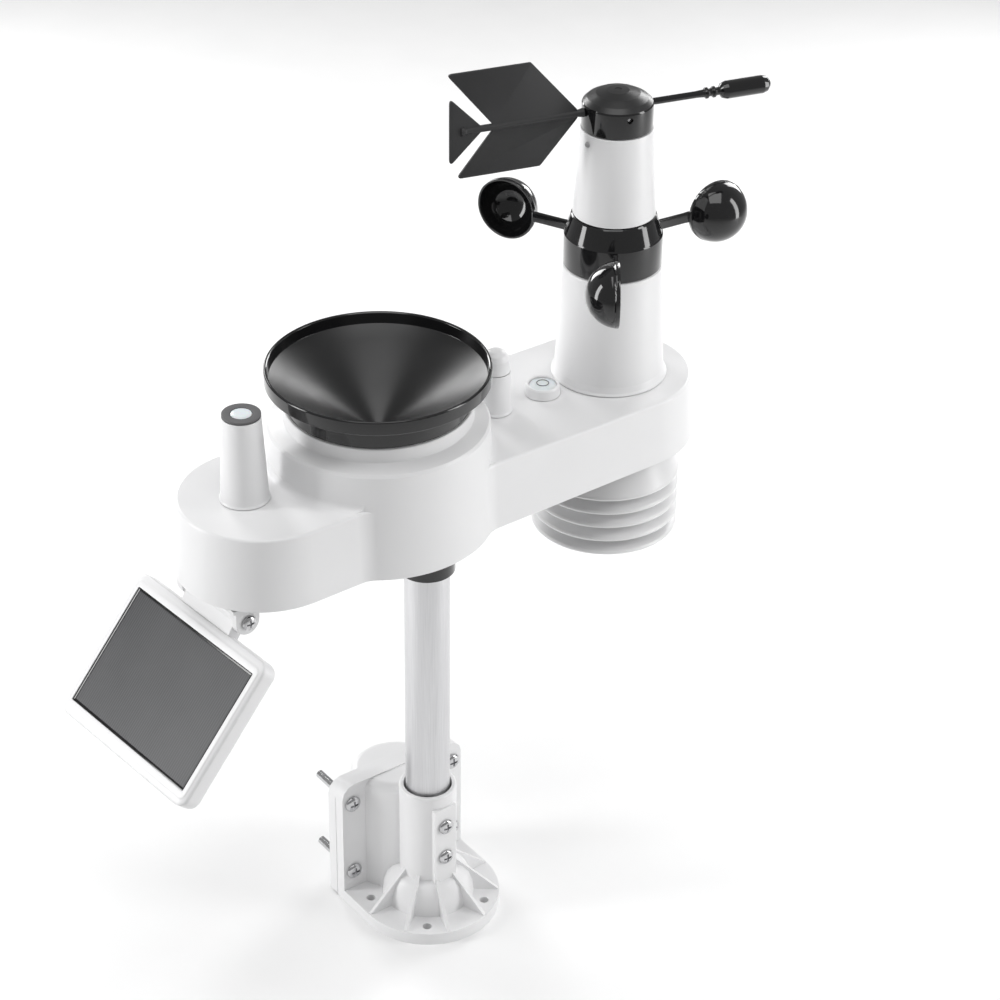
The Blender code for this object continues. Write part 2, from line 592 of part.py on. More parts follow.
def build_tower():
    floor = HOUSING_TOP + GAP
    axis = (TOWER_X, 0, 0)
    top = ROTOR_BOTTOM - 0.6 * MM
    hole = SPINDLE_RADIUS + GAP
    lower = [(hole, top), (TOWER_NECK_RADIUS - 0.9 * MM, top), (TOWER_NECK_RADIUS, top - 0.9 * MM),
             (TOWER_BASE_RADIUS - 0.7 * MM, floor + 5 * MM), (TOWER_BASE_RADIUS + 0.2 * MM, floor + 1.6 * MM),
             (TOWER_BASE_RADIUS + 1.6 * MM, floor), (TOWER_BASE_RADIUS - 3 * MM, floor),
             (TOWER_NECK_RADIUS - 2.4 * MM, top - 3 * MM), (hole, top - 3 * MM)]
    lathe("tower_lower", lower, WHITE, axis, ring=True)

    flange_top = top - 3 * MM - GAP
    tube = [(4 * MM, ROTOR_TOP + 7 * MM), (SPINDLE_RADIUS, ROTOR_TOP + 7 * MM), (SPINDLE_RADIUS, flange_top),
            (SPINDLE_RADIUS + 4 * MM, flange_top), (SPINDLE_RADIUS + 4 * MM, flange_top - 3 * MM),
            (4 * MM, flange_top - 3 * MM)]
    lathe("tower_spindle", tube, GREY, axis, steps=MIDDLE_ROUND, ring=True)

    low = ROTOR_TOP + 0.6 * MM
    high = VANE_CAP_BOTTOM - 0.6 * MM
    upper_top_radius = VANE_CAP_RADIUS + 0.5 * MM
    upper = [(4.5 * MM, high), (upper_top_radius, high), (UPPER_CONE_RADIUS, low), (hole, low),
             (hole, low + 2.4 * MM), (UPPER_CONE_RADIUS - 2.3 * MM, low + 2.4 * MM),
             (upper_top_radius - 2.1 * MM, high - 2.4 * MM), (4.5 * MM, high - 2.4 * MM)]
    lathe("tower_upper", upper, WHITE, axis, ring=True)
    plug_turn = math.radians(-178)
    plug_radius = 20.45 * MM
    plug_at = (TOWER_X + plug_radius * math.cos(plug_turn), plug_radius * math.sin(plug_turn), 470.7 * MM)
    dome = [(0, 1.3 * MM), (1 * MM, 1.1 * MM), (1.6 * MM, 0.4 * MM), (1.7 * MM, 0), (0, 0)]
    lathe("tower_plug", dome, GREY, plug_at, (0, math.pi / 2, plug_turn), steps=SMALL_ROUND)
    bearing = [(1.9 * MM, high - 0.2 * MM), (4.2 * MM, high - 0.2 * MM), (4.2 * MM, high - 3 * MM),
               (1.9 * MM, high - 3 * MM)]
    lathe("vane_bearing", bearing, STEEL, axis, steps=MIDDLE_ROUND, ring=True)


def build_rotor():
    rotor = empty("rotor_axis", (TOWER_X, 0, 0), (0, 0, math.radians(CUP_HEADING)))
    bore = 9.3 * MM
    edge = ROTOR_RADIUS
    wall = 2 * MM
    profile = [(bore, ROTOR_TOP), (UPPER_CONE_RADIUS, ROTOR_TOP), (UPPER_CONE_RADIUS + 0.7 * MM, ROTOR_TOP - 0.9 * MM),
               (edge - 0.5 * MM, ROTOR_SHOULDER + 0.8 * MM), (edge, ROTOR_SHOULDER), (edge, ROTOR_BOTTOM),
               (edge - wall, ROTOR_BOTTOM), (edge - wall, ROTOR_SHOULDER - 1 * MM),
               (UPPER_CONE_RADIUS - 2 * MM, ROTOR_TOP - 2.4 * MM), (bore + wall, ROTOR_TOP - 2.4 * MM),
               (bore + wall, ROTOR_BOTTOM + 1.5 * MM), (bore, ROTOR_BOTTOM + 1.5 * MM)]
    lathe("rotor_hub", profile, BLACK, ring=True, parent=rotor)
    inner = SPINDLE_RADIUS + GAP
    outer = bore - GAP
    for number, low in enumerate((ROTOR_BOTTOM + 2 * MM, ROTOR_TOP - 6 * MM), 1):
        race = [(inner, low + 4 * MM), (outer, low + 4 * MM), (outer, low), (inner, low)]
        lathe(f"rotor_bearing_{number}", race, STEEL, steps=MIDDLE_ROUND, ring=True, parent=rotor)

    for number in (1, 2, 3):
        spoke = empty(f"spoke_{number}", (0, 0, CUP_HEIGHT), (0, 0, math.radians(120 * (number - 1))), rotor)
        dome = []
        bowl = []
        for i in range(5):
            turn = math.radians(22.5 * i)
            dome.append((CUP_RADIUS * math.sin(turn), CUP_RADIUS * math.cos(turn)))
            hollow = CUP_RADIUS - CUP_WALL
            bowl.append((hollow * math.sin(turn), hollow * math.cos(turn)))
        cup = lathe(f"wind_cup_{number}", dome + bowl[::-1], BLACK, (CUP_CIRCLE, 0, 0), (math.pi / 2, 0, 0),
                    steps=MIDDLE_ROUND, parent=spoke)
        arm_end = CUP_CIRCLE - CUP_RADIUS + 1 * MM
        join(cup, box(f"cup_arm_{number}", (ROTOR_RADIUS + GAP, -1 * MM, -3 * MM), (arm_end, 1 * MM, 3 * MM), BLACK,
                      parent=spoke))


def blade(name, outline, parent):
    """A flat blade in the vane's own X-Z plane."""
    half = 0.8 * MM
    return prism(name, outline, -half, half, MATTE_BLACK, rotation=(math.pi / 2, 0, 0), parent=parent)


def build_vane():
    vane = empty("vane_axis", (TOWER_X, 0, VANE_HEIGHT), (0, 0, math.radians(VANE_HEADING)))
    top = VANE_CAP_TOP - VANE_HEIGHT
    low = VANE_CAP_BOTTOM - VANE_HEIGHT
    rim = VANE_CAP_RADIUS
    brow = 3.9 * MM
    profile = [(0, top), (6 * MM, top - 0.4 * MM), (12 * MM, top - 2 * MM), (16.6 * MM, top - 4.4 * MM),
               (rim - 0.5 * MM, brow), (rim, brow - 0.9 * MM), (rim, low), (rim - 1.6 * MM, low),
               (rim - 1.6 * MM, brow - 1.5 * MM), (15 * MM, top - 6 * MM), (4 * MM, top - 4 * MM), (4 * MM, low + 2 * MM),
               (1.8 * MM, low + 2 * MM), (1.8 * MM, top - 5 * MM), (0, top - 5 * MM)]
    cap = lathe("vane_cap", profile, BLACK, steps=MIDDLE_ROUND, parent=vane)
    screw_line = empty("set_screw_line", (0, 0, 0), (0, 0, math.radians(SET_SCREW_TURN)), vane)
    flat = (math.pi / 2, 0, 0)
    cut(cap, cylinder("set_screw_hole", 1.9 * MM, 10 * MM, 25 * MM, BLACK, rotation=flat, parent=screw_line))
    phillips_screw("vane_set_screw", (1.6 * MM, 1 * MM), (1.2 * MM, 12 * MM), (0, -rim + 1.6 * MM, 0), flat, screw_line)

    cylinder("vane_shaft", 1.5 * MM, low - 22 * MM, top - 5.4 * MM, STEEL, parent=vane)

    start = rim + GAP
    rod = cylinder("vane_tail", 1.9 * MM, start, 90.2 * MM, MATTE_BLACK, rotation=(0, -math.pi / 2, 0),
                   parent=vane)
    root = 1.2 * MM
    upper = [(-22 * MM, root), (-50.8 * MM, 33.5 * MM), (-98.3 * MM, 33.5 * MM), (-71.4 * MM, root)]
    lower = [(-22 * MM, -root), (-71.4 * MM, -root), (-92.6 * MM, -26.9 * MM), (-44.7 * MM, -26.9 * MM)]
    tail = [(-78 * MM, root), (-96.5 * MM, 20 * MM), (-96.5 * MM, -19 * MM), (-78 * MM, -root)]
    join(rod, blade("upper_blade", upper, vane), blade("lower_blade", lower, vane), blade("tail_blade", tail, vane))

    nose = [(0, 90.3 * MM)]
    nose += [(5 * MM * math.sin(math.radians(a)), 85.3 * MM + 5 * MM * math.cos(math.radians(a))) for a in (30, 60)]
    nose += [(5 * MM, 85.3 * MM), (5 * MM, 64 * MM), (4 * MM, 61.2 * MM), (2.2 * MM, 60 * MM)]
    for ring_at in (56.5 * MM, 52.2 * MM):
        nose += [(2.2 * MM, ring_at + 1 * MM), (3.1 * MM, ring_at + 0.7 * MM), (3.1 * MM, ring_at - 0.7 * MM),
                 (2.2 * MM, ring_at - 1 * MM)]
    nose += [(1.9 * MM, 46 * MM), (1.9 * MM, start), (0, start)]
    lathe("vane_nose", nose, BLACK, rotation=(0, math.pi / 2, 0), steps=SMALL_ROUND, parent=vane)


# Radiation shield


def louvre(lip, inner):
    """The closed profile of a sloping ring whose lip hangs at its outer edge."""
    outer = SHIELD_RADIUS
    return [(inner, lip + 7.4 * MM), (33 * MM, lip + 7.4 * MM), (outer - 0.8 * MM, lip + 2 * MM), (outer, lip + 1 * MM),
            (outer, lip), (outer - 1.8 * MM, lip), (outer - 1.9 * MM, lip + 0.6 * MM), (32.4 * MM, lip + 5.6 * MM),
            (inner, lip + 5.6 * MM)]


def build_shield():
    axis = (TOWER_X, 0, 0)
    lip = SHIELD_LIPS[0]
    outer = SHIELD_RADIUS
    stub = SHIELD_TOP + 2.4 * MM
    cap = [(0, stub), (12 * MM, stub), (12 * MM, SHIELD_TOP), (33 * MM, SHIELD_TOP),
           (36 * MM, SHIELD_TOP - 1.5 * MM), (outer - 0.6 * MM, lip + 2 * MM), (outer, lip + 1 * MM), (outer, lip),
           (outer - 1.8 * MM, lip), (34.6 * MM, SHIELD_TOP - 3 * MM), (0, SHIELD_TOP - 3 * MM)]
    plates = [lathe("shield_top", cap, WHITE, axis)]
    for number, lip in enumerate(SHIELD_LIPS[1:], 1):
        plates.append(lathe(f"shield_ring_{number}", louvre(lip, 24 * MM), WHITE, axis, ring=True))
    lip = SHIELD_BOTTOM
    base = [(0, lip + 5 * MM), (33 * MM, lip + 5 * MM), (outer - 0.8 * MM, lip + 2 * MM), (outer, lip + 1 * MM),
            (outer, lip), (outer - 1.8 * MM, lip), (outer - 4 * MM, lip + 2 * MM), (0, lip + 2 * MM)]
    plates.append(lathe("shield_base", base, WHITE, axis))
    levels = [SHIELD_TOP - 3 * MM] + [lip + 5.6 * MM for lip in SHIELD_LIPS[1:]] + [SHIELD_BOTTOM + 5 * MM]
    for number, angle in enumerate(SHIELD_SCREW_ANGLES, 1):
        x, y, _ = around(angle, SHIELD_SCREW_CIRCLE, 0) + Vector(axis)
        for plate, level, below in zip(plates, levels, levels[1:]):
            under = below + (GAP if plate is plates[-2] else 1.8 * MM + GAP)
            join(plate, cylinder("spacer", 3.2 * MM, under, level + 1 * MM, WHITE, (x, y, 0)))
        for plate in plates[1:]:
            cut(plate, cylinder("spacer_hole", 1.8 * MM, SHIELD_BOTTOM - 5 * MM, SHIELD_LIPS[0] + 6 * MM, WHITE,
                                (x, y, 0)))
        cut(plates[0], cylinder("spacer_blind", 1.8 * MM, SHIELD_BOTTOM, SHIELD_TOP - 4 * MM, WHITE, (x, y, 0)))
        phillips_screw(f"shield_screw_{number}", (3 * MM, 1.8 * MM), (1.5 * MM, 48 * MM),
                       (x, y, SHIELD_BOTTOM + 2 * MM - GAP), (math.pi, 0, 0))
    box("thermo_hygro_sensor", (TOWER_X - 6 * MM, -4 * MM, 243 * MM), (TOWER_X + 6 * MM, 4 * MM, 280 * MM), GREY,
        bevel=1 * MM)


# Rain gauge


def build_funnel():
    rim = FUNNEL_RADIUS
    inner = rim - FUNNEL_LIP
    band_low = FUNNEL_TOP - FUNNEL_BAND
    bowl_edge = FUNNEL_TOP - 6.6 * MM
    skirt = FUNNEL_SKIRT_RADIUS
    ledge = COLLAR_TOP + GAP
    tuck = COLLAR_BORE - 0.5 * MM
    profile = [(THROAT_RADIUS, THROAT_HEIGHT), (8 * MM, THROAT_HEIGHT + 3 * MM), (34 * MM, THROAT_HEIGHT + 19 * MM),
               (50 * MM, THROAT_HEIGHT + 28.2 * MM), (inner - 0.4 * MM, bowl_edge), (inner, FUNNEL_TOP - 0.6 * MM),
               (inner + 0.6 * MM, FUNNEL_TOP), (rim - 0.5 * MM, FUNNEL_TOP), (rim, FUNNEL_TOP - 0.6 * MM),
               (rim, band_low), (rim - 1.6 * MM, band_low - 0.4 * MM), (rim - 2.4 * MM, band_low - 1.6 * MM),
               (skirt + 1.5 * MM, band_low - 3.2 * MM), (skirt, band_low - 5 * MM), (skirt, ledge), (tuck, ledge),
               (tuck, ledge - 8 * MM), (tuck - 1.8 * MM, ledge - 8 * MM), (tuck - 1.8 * MM, THROAT_HEIGHT + 23.6 * MM),
               (34 * MM, THROAT_HEIGHT + 16.6 * MM), (8 * MM, THROAT_HEIGHT + 0.4 * MM), (5 * MM, THROAT_HEIGHT - 2 * MM),
               (5 * MM, SPOUT_BOTTOM), (THROAT_RADIUS, SPOUT_BOTTOM)]
    lathe("rain_funnel", profile, BLACK, (DRUM_X, 0, 0), ring=True)


def build_bucket():
    floor_half = 25 * MM
    half_width = 11 * MM
    skin = 1.2 * MM
    rise = 5 * MM
    wall = 17 * MM
    pivot = empty("bucket_axis", (DRUM_X, 0, BUCKET_PIVOT_HEIGHT), (0, math.radians(-BUCKET_TILT), 0))
    flat = (math.pi / 2, 0, 0)
    trough = [(floor_half, rise), (0, 0), (-floor_half, rise), (-floor_half, rise + skin), (-skin, skin * 1.3),
              (-skin / 2, wall), (skin / 2, wall), (skin, skin * 1.3), (floor_half, rise + skin)]
    bucket = prism("tipping_bucket", trough, -half_width, half_width, GREY, rotation=flat, parent=pivot)
    side = [(floor_half, rise), (0, 0), (-floor_half, rise), (0, wall)]
    for label, y in (("front", -half_width), ("back", half_width)):
        join(bucket, prism(f"bucket_{label}", side, -y - skin / 2, -y + skin / 2, GREY, rotation=flat, parent=pivot))
    hub_reach = half_width + skin / 2
    join(bucket, cylinder("bucket_hub", 3 * MM, -hub_reach, hub_reach, GREY, (0, 0, -0.6 * MM), flat, parent=pivot))
    cut(bucket, cylinder("bucket_bore", 1.4 * MM, -20 * MM, 20 * MM, GREY, (0, 0, -0.6 * MM), flat, parent=pivot))

    pin_height = BUCKET_PIVOT_HEIGHT - 0.6 * MM
    cylinder("bucket_pin", 1.1 * MM, -16 * MM, 16 * MM, STEEL, (DRUM_X, 0, pin_height), flat)
    base_low = 291.6 * MM
    cradle = box("bucket_cradle", (DRUM_X - 17 * MM, -16 * MM, base_low), (DRUM_X + 17 * MM, 16 * MM, base_low + 2 * MM),
                 WHITE)
    for side in (-1, 1):
        near, far = sorted((side * 12.4 * MM, side * 15 * MM))
        join(cradle, box("upright", (DRUM_X - 5 * MM, near, base_low + 1 * MM),
                         (DRUM_X + 5 * MM, far, BUCKET_PIVOT_HEIGHT + 5 * MM), WHITE))
        stop_at = (DRUM_X + side * 15 * MM, 0, 0)
        join(cradle, cylinder("stop", 1.5 * MM, base_low + 1 * MM, BUCKET_STOP_TOP, WHITE, stop_at))
        for leg_x in (DRUM_X - 13 * MM, DRUM_X + 5 * MM):
            join(cradle, cylinder("leg", 2 * MM, CRADLE_BOTTOM, base_low + 1 * MM, WHITE, (leg_x, side * 13 * MM, 0)))
    cut(cradle, cylinder("pin_bore", 1.4 * MM, -20 * MM, 20 * MM, WHITE, (DRUM_X, 0, pin_height), flat))


# Solar panel


def panel_ring(far, near, half, corner, height):
    """A rectangle with rounded corners at one height."""
    points = []
    for x, y, start in ((near - corner, half - corner, 0), (far + corner, half - corner, 90),
                        (far + corner, -half + corner, 180), (near - corner, -half + corner, 270)):
        points += [(px, py, height) for px, py in arc((x, y), corner, start, start + 90, 4)]
    return points


def build_panel():
    yaw = math.radians(HINGE_YAW)
    bracket_frame = empty("hinge_line", (HINGE_X, 0, HINGE_Z), (0, 0, yaw))
    lug_in = HINGE_TAB_HALF + 0.5 * MM
    lug_out = lug_in + 5 * MM
    plate_top = 10 * MM
    bracket = box("panel_bracket", (-9 * MM, -lug_out, plate_top - 2.4 * MM), (20 * MM, lug_out, plate_top), WHITE,
                  parent=bracket_frame)
    flat = (math.pi / 2, 0, 0)
    lug = arc((0, 0), 7.5 * MM, 180, 360, 10) + [(7.5 * MM, plate_top - 1 * MM), (-7.5 * MM, plate_top - 1 * MM)]
    for low in (-lug_out, lug_in):
        join(bracket, prism("lug", lug, -low - (lug_out - lug_in), -low, WHITE, rotation=flat, parent=bracket_frame))
    cut(bracket, cylinder("lug_bore", 2 * MM, -40 * MM, 40 * MM, WHITE, rotation=flat, parent=bracket_frame))

    panel = empty("panel_hinge", (HINGE_X, 0, HINGE_Z), (0, math.radians(-PANEL_TILT), yaw))
    near = -PANEL_SETBACK
    far = near - PANEL_LENGTH
    half = PANEL_WIDTH / 2
    face = PANEL_FRONT_OFFSET
    seam = face - 2 * MM
    margin_side = 4.5 * MM
    margin_end = 8 * MM

    def ring(inset, height):
        return panel_ring(far + inset, near - inset, half - inset, PANEL_CORNER - inset * 0.5, height)

    frame = loft("panel_frame", [
        ring(0, seam),
        ring(0, face - 1.6 * MM),
        ring(0.8 * MM, face - 0.9 * MM),
        ring(3 * MM, face - 0.5 * MM),
        ring(3.3 * MM, face),
    ], WHITE, panel)
    window_low = (far + margin_end, -half + margin_side, seam - 5 * MM)
    window_high = (near - margin_end, half - margin_side, face + 5 * MM)
    cut(frame, box("window", window_low, window_high, WHITE, parent=panel))
    fit = GAP
    box("solar_cell", (window_low[0] + fit, window_low[1] + fit, seam), (window_high[0] - fit, window_high[1] - fit,
        seam + 0.9 * MM), SOLAR, parent=panel)

    back_top = seam - GAP
    back_low = face - PANEL_THICKNESS
    back = loft("panel_back", [
        ring(1.8 * MM, back_low),
        ring(0.5 * MM, back_low + 0.7 * MM),
        ring(0, back_low + 2.2 * MM),
        ring(0, back_top),
    ], WHITE, panel)
    join(back, box("tab", (near - 3 * MM, -HINGE_TAB_HALF, -4.6 * MM), (1 * MM, HINGE_TAB_HALF, back_top), WHITE,
                   parent=panel))
    join(back, cylinder("knuckle", 5.2 * MM, -HINGE_TAB_HALF, HINGE_TAB_HALF, WHITE, rotation=flat, steps=MIDDLE_ROUND,
                        parent=panel))
    cut(back, box("tray", (far + 3 * MM, -half + 3 * MM, back_low + 2 * MM), (near - 3 * MM, half - 3 * MM,
                  back_top + 5 * MM), WHITE, parent=panel))
    cut(back, cylinder("knuckle_bore", 2 * MM, -40 * MM, 40 * MM, WHITE, rotation=flat, parent=panel))
    head_at = lug_out + GAP
    for number, turn in ((1, math.pi / 2), (2, -math.pi / 2)):
        side = -1 if number == 1 else 1
        phillips_screw(f"hinge_screw_{number}", (4.3 * MM, 2.2 * MM), (1.7 * MM, 14 * MM), (0, side * head_at, 0),
                       (turn, 0, 0), bracket_frame)


# Electronics


def build_electronics():
    slope = math.atan(UNDERSIDE_SLOPE)
    door_low = underside(BUTTON_X) - COVER_PROUD
    half_length = DOOR_LENGTH / 2 - 0.4 * MM
    half_width = DOOR_WIDTH / 2 - 0.4 * MM
    box("battery_door", (-half_length, -half_width, 0), (half_length, half_width, COVER_THICKNESS - 0.4 * MM), BLACK,
        location=(BUTTON_X, 0, door_low), rotation=(0, -slope, 0))
    for number, y in ((1, -8.2 * MM), (2, 8.2 * MM)):
        cell = [(0, 25.2 * MM), (2.6 * MM, 25.2 * MM), (2.6 * MM, 24.2 * MM), (7.1 * MM, 24.2 * MM),
                (7.1 * MM, -25.2 * MM), (0, -25.2 * MM)]
        turn = math.pi / 2 if number == 1 else -math.pi / 2
        lathe(f"battery_{number}", cell, BATTERY, (BUTTON_X, y, 297.6 * MM), (0, turn, 0), steps=MIDDLE_ROUND)
    box("circuit_board", (14 * MM, -34 * MM, 308 * MM), (84 * MM, 34 * MM, 309.6 * MM), BOARD)
    button_low = underside(BUTTON_X) - COVER_PROUD - 1.2 * MM
    flange = button_low + 4 * MM
    button = [(0, flange + 1.6 * MM), (4.4 * MM, flange + 1.6 * MM), (4.4 * MM, flange), (2.8 * MM, flange),
              (2.8 * MM, button_low), (0, button_low)]
    lathe("reset_button", button, GREY, (BUTTON_X, BUTTON_Y, 0))


build_foot()
build_fasteners()
build_pole()
build_housing()
build_posts()
build_tower()
build_rotor()
build_vane()
build_shield()
build_funnel()
build_bucket()
build_panel()
build_electronics()
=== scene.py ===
"""Looks of the weather sensor array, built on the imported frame: fine meshes, materials, light and camera."""

import json
import math

import bmesh
import bpy
from mathutils import Matrix, Vector


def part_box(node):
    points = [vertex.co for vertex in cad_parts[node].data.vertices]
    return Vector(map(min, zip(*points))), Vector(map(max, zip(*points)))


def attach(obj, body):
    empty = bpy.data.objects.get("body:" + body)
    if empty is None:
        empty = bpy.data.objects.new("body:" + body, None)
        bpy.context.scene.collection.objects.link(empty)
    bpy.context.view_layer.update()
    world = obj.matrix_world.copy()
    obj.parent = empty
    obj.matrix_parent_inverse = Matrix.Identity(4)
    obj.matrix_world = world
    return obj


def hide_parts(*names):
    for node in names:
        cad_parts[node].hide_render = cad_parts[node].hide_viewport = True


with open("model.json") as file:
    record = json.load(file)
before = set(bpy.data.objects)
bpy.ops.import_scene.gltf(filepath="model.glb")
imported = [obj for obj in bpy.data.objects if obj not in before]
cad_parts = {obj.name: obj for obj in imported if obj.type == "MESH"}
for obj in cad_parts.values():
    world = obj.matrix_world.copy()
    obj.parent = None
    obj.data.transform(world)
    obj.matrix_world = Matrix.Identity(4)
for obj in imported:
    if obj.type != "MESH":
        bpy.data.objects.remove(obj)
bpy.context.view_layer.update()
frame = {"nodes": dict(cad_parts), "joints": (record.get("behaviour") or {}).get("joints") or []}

MM = 0.001
CAMERA_HEADING = (0.5771, 0.8166, 0)
CAMERA_PITCH = 32.06
CAMERA_PLACE = (-0.7527, -1.0821, 1.1097)
CAMERA_LENS = 101.45
CAMERA_SHIFT = 0.0556
SENSOR_WIDTH = 36
PANEL_YAW = 4.0
FINGER_PITCH = 1.6 * MM  # of the solar cell's grid lines
FINE = 160  # segments of a large turned piece
MEDIUM = 96
SMALL = 48
NODES = frame["nodes"]
JOINTS = {joint["name"]: joint for joint in frame["joints"]}

# Materials


def principled(name, **values):
    material = bpy.data.materials.new(name)
    material.use_nodes = True
    shader = material.node_tree.nodes["Principled BSDF"]
    for key, value in values.items():
        shader.inputs[key.replace("_", " ")].default_value = value
    return material, material.node_tree.nodes, material.node_tree.links, shader


def coordinates(nodes, links, scale=(1, 1, 1), rotation=(0, 0, 0)):
    """The row frame's coordinates, scaled and turned."""
    source = nodes.new("ShaderNodeTexCoord")
    mapping = nodes.new("ShaderNodeMapping")
    mapping.inputs["Scale"].default_value = scale
    mapping.inputs["Rotation"].default_value = rotation
    links.new(source.outputs["Object"], mapping.inputs["Vector"])
    return mapping.outputs["Vector"]


def noise(nodes, links, vector, scale, detail=3.0):
    texture = nodes.new("ShaderNodeTexNoise")
    texture.inputs["Scale"].default_value = scale
    texture.inputs["Detail"].default_value = detail
    links.new(vector, texture.inputs["Vector"])
    return texture.outputs["Fac"]


def spread(nodes, links, value, low, high, start=0.3, end=0.7):
    """Maps a noise value to a range of numbers."""
    remap = nodes.new("ShaderNodeMapRange")
    remap.inputs["From Min"].default_value = start
    remap.inputs["From Max"].default_value = end
    remap.inputs["To Min"].default_value = low
    remap.inputs["To Max"].default_value = high
    links.new(value, remap.inputs["Value"])
    return remap.outputs["Result"]


def tint(nodes, links, value, dark, light, start=0.3, end=0.7):
    """Maps a noise value to a colour between two."""
    ramp = nodes.new("ShaderNodeValToRGB")
    ramp.color_ramp.elements[0].position = start
    ramp.color_ramp.elements[0].color = (*dark, 1)
    ramp.color_ramp.elements[1].position = end
    ramp.color_ramp.elements[1].color = (*light, 1)
    links.new(value, ramp.inputs["Fac"])
    return ramp.outputs["Color"]


def bump(nodes, links, shader, height, strength, distance):
    node = nodes.new("ShaderNodeBump")
    node.inputs["Strength"].default_value = strength
    node.inputs["Distance"].default_value = distance
    links.new(height, node.inputs["Height"])
    links.new(node.outputs["Normal"], shader.inputs["Normal"])


def moulded(name, dark, light, rough, grain=2600.0, grain_height=0.00003, strength=0.35, **values):
    """Injection-moulded plastic: faint flow mottling, uneven gloss and a fine tool grain."""
    material, nodes, links, shader = principled(name, **values)
    vector = coordinates(nodes, links)
    flow = noise(nodes, links, vector, 14.0, 4.0)
    links.new(tint(nodes, links, flow, dark, light), shader.inputs["Base Color"])
    patches = noise(nodes, links, vector, 60.0, 5.0)
    links.new(spread(nodes, links, patches, *rough), shader.inputs["Roughness"])
    bump(nodes, links, shader, noise(nodes, links, vector, grain, 2.0), strength, grain_height)
    return material


def brushed(name, dark, light, rough, stretch, grain, rotation=(0, 0, 0)):
    """Drawn or machined metal, with fine lines along one axis."""
    material, nodes, links, shader = principled(name, Metallic=1.0)
    vector = coordinates(nodes, links, stretch, rotation)
    lines = noise(nodes, links, vector, grain, 4.0)
    links.new(tint(nodes, links, lines, dark, light, 0.25, 0.75), shader.inputs["Base Color"])
    links.new(spread(nodes, links, lines, *rough), shader.inputs["Roughness"])
    bump(nodes, links, shader, lines, 0.12, 0.00002)
    return material


def cell_material():
    """A dark cell with fine grid fingers along the panel, under a clear glossy cover."""
    material, nodes, links, shader = principled("solar_cell_look", Coat_Weight=0.12, Coat_Roughness=0.3,
                                                Roughness=0.5)
    turn = (0, 0, -math.radians(PANEL_YAW))
    vector = coordinates(nodes, links, (1, 1, 1), turn)
    split = nodes.new("ShaderNodeSeparateXYZ")
    links.new(vector, split.inputs["Vector"])
    wave = nodes.new("ShaderNodeMath")
    wave.operation = "PINGPONG"
    wave.inputs[1].default_value = 0.5 * FINGER_PITCH
    links.new(split.outputs["Y"], wave.inputs[0])
    fingers = spread(nodes, links, wave.outputs[0], 1.0, 0.0, 0.0, 0.16 * FINGER_PITCH)
    cloud = noise(nodes, links, vector, 30.0, 4.0)
    base = tint(nodes, links, cloud, (0.032, 0.033, 0.036), (0.044, 0.045, 0.048))
    mix = nodes.new("ShaderNodeMix")
    mix.data_type = "RGBA"
    mix.inputs["B"].default_value = (0.085, 0.087, 0.092, 1)
    links.new(fingers, mix.inputs["Factor"])
    links.new(base, mix.inputs["A"])
    links.new(mix.outputs["Result"], shader.inputs["Base Color"])
    bump(nodes, links, shader, fingers, 0.2, 0.00002)
    return material


WHITE = moulded("white_abs_look", (0.80, 0.80, 0.805), (0.83, 0.83, 0.835), (0.30, 0.40))
GLOSS = moulded("gloss_black_look", (0.006, 0.006, 0.0065), (0.009, 0.009, 0.0095), (0.06, 0.12),
                900.0, 0.00001, 0.15, Coat_Weight=0.25, Coat_Roughness=0.04)
SATIN = moulded("satin_cap_look", (0.012, 0.012, 0.0125), (0.018, 0.018, 0.0185), (0.30, 0.38),
                1500.0, 0.00002, 0.2)
BOWL = moulded("satin_black_look", (0.008, 0.008, 0.0085), (0.012, 0.012, 0.0125), (0.30, 0.36),
               1500.0, 0.00002, 0.2)
MATTE = moulded("vane_black_look", (0.020, 0.020, 0.021), (0.026, 0.026, 0.027), (0.46, 0.56),
                3200.0, 0.00005, 0.5)
LIGHT_GREY = moulded("plug_look", (0.30, 0.30, 0.305), (0.34, 0.34, 0.345), (0.4, 0.5))
DARK_GREY = moulded("grey_plastic_look", (0.105, 0.105, 0.108), (0.125, 0.125, 0.128), (0.42, 0.52))
MILKY = moulded("diffuser_look", (0.80, 0.80, 0.81), (0.84, 0.84, 0.85), (0.22, 0.3), Subsurface_Weight=0.15)
BOARD = moulded("board_look", (0.012, 0.11, 0.04), (0.02, 0.16, 0.06), (0.3, 0.45), 700.0)
SLEEVE = moulded("battery_look", (0.16, 0.17, 0.19), (0.22, 0.23, 0.25), (0.25, 0.35), 900.0)
ALUMINIUM = brushed("aluminium_look", (0.60, 0.60, 0.61), (0.70, 0.70, 0.71), (0.32, 0.40), (60, 60, 1), 40.0)
STEEL = brushed("steel_look", (0.50, 0.50, 0.51), (0.66, 0.66, 0.67), (0.12, 0.20), (1, 1, 1), 900.0)
CELL = cell_material()


# Geometry


def finish_mesh(bm, name, material, sharp=32):
    bmesh.ops.remove_doubles(bm, verts=bm.verts, dist=0.002 * MM)
    bmesh.ops.recalc_face_normals(bm, faces=bm.faces)
    mesh = bpy.data.meshes.new(name)
    bm.to_mesh(mesh)
    bm.free()
    mesh.materials.append(material)
    mesh.shade_smooth()
    mesh.set_sharp_from_angle(angle=math.radians(sharp))
    obj = bpy.data.objects.new(name, mesh)
    bpy.context.scene.collection.objects.link(obj)
    return obj


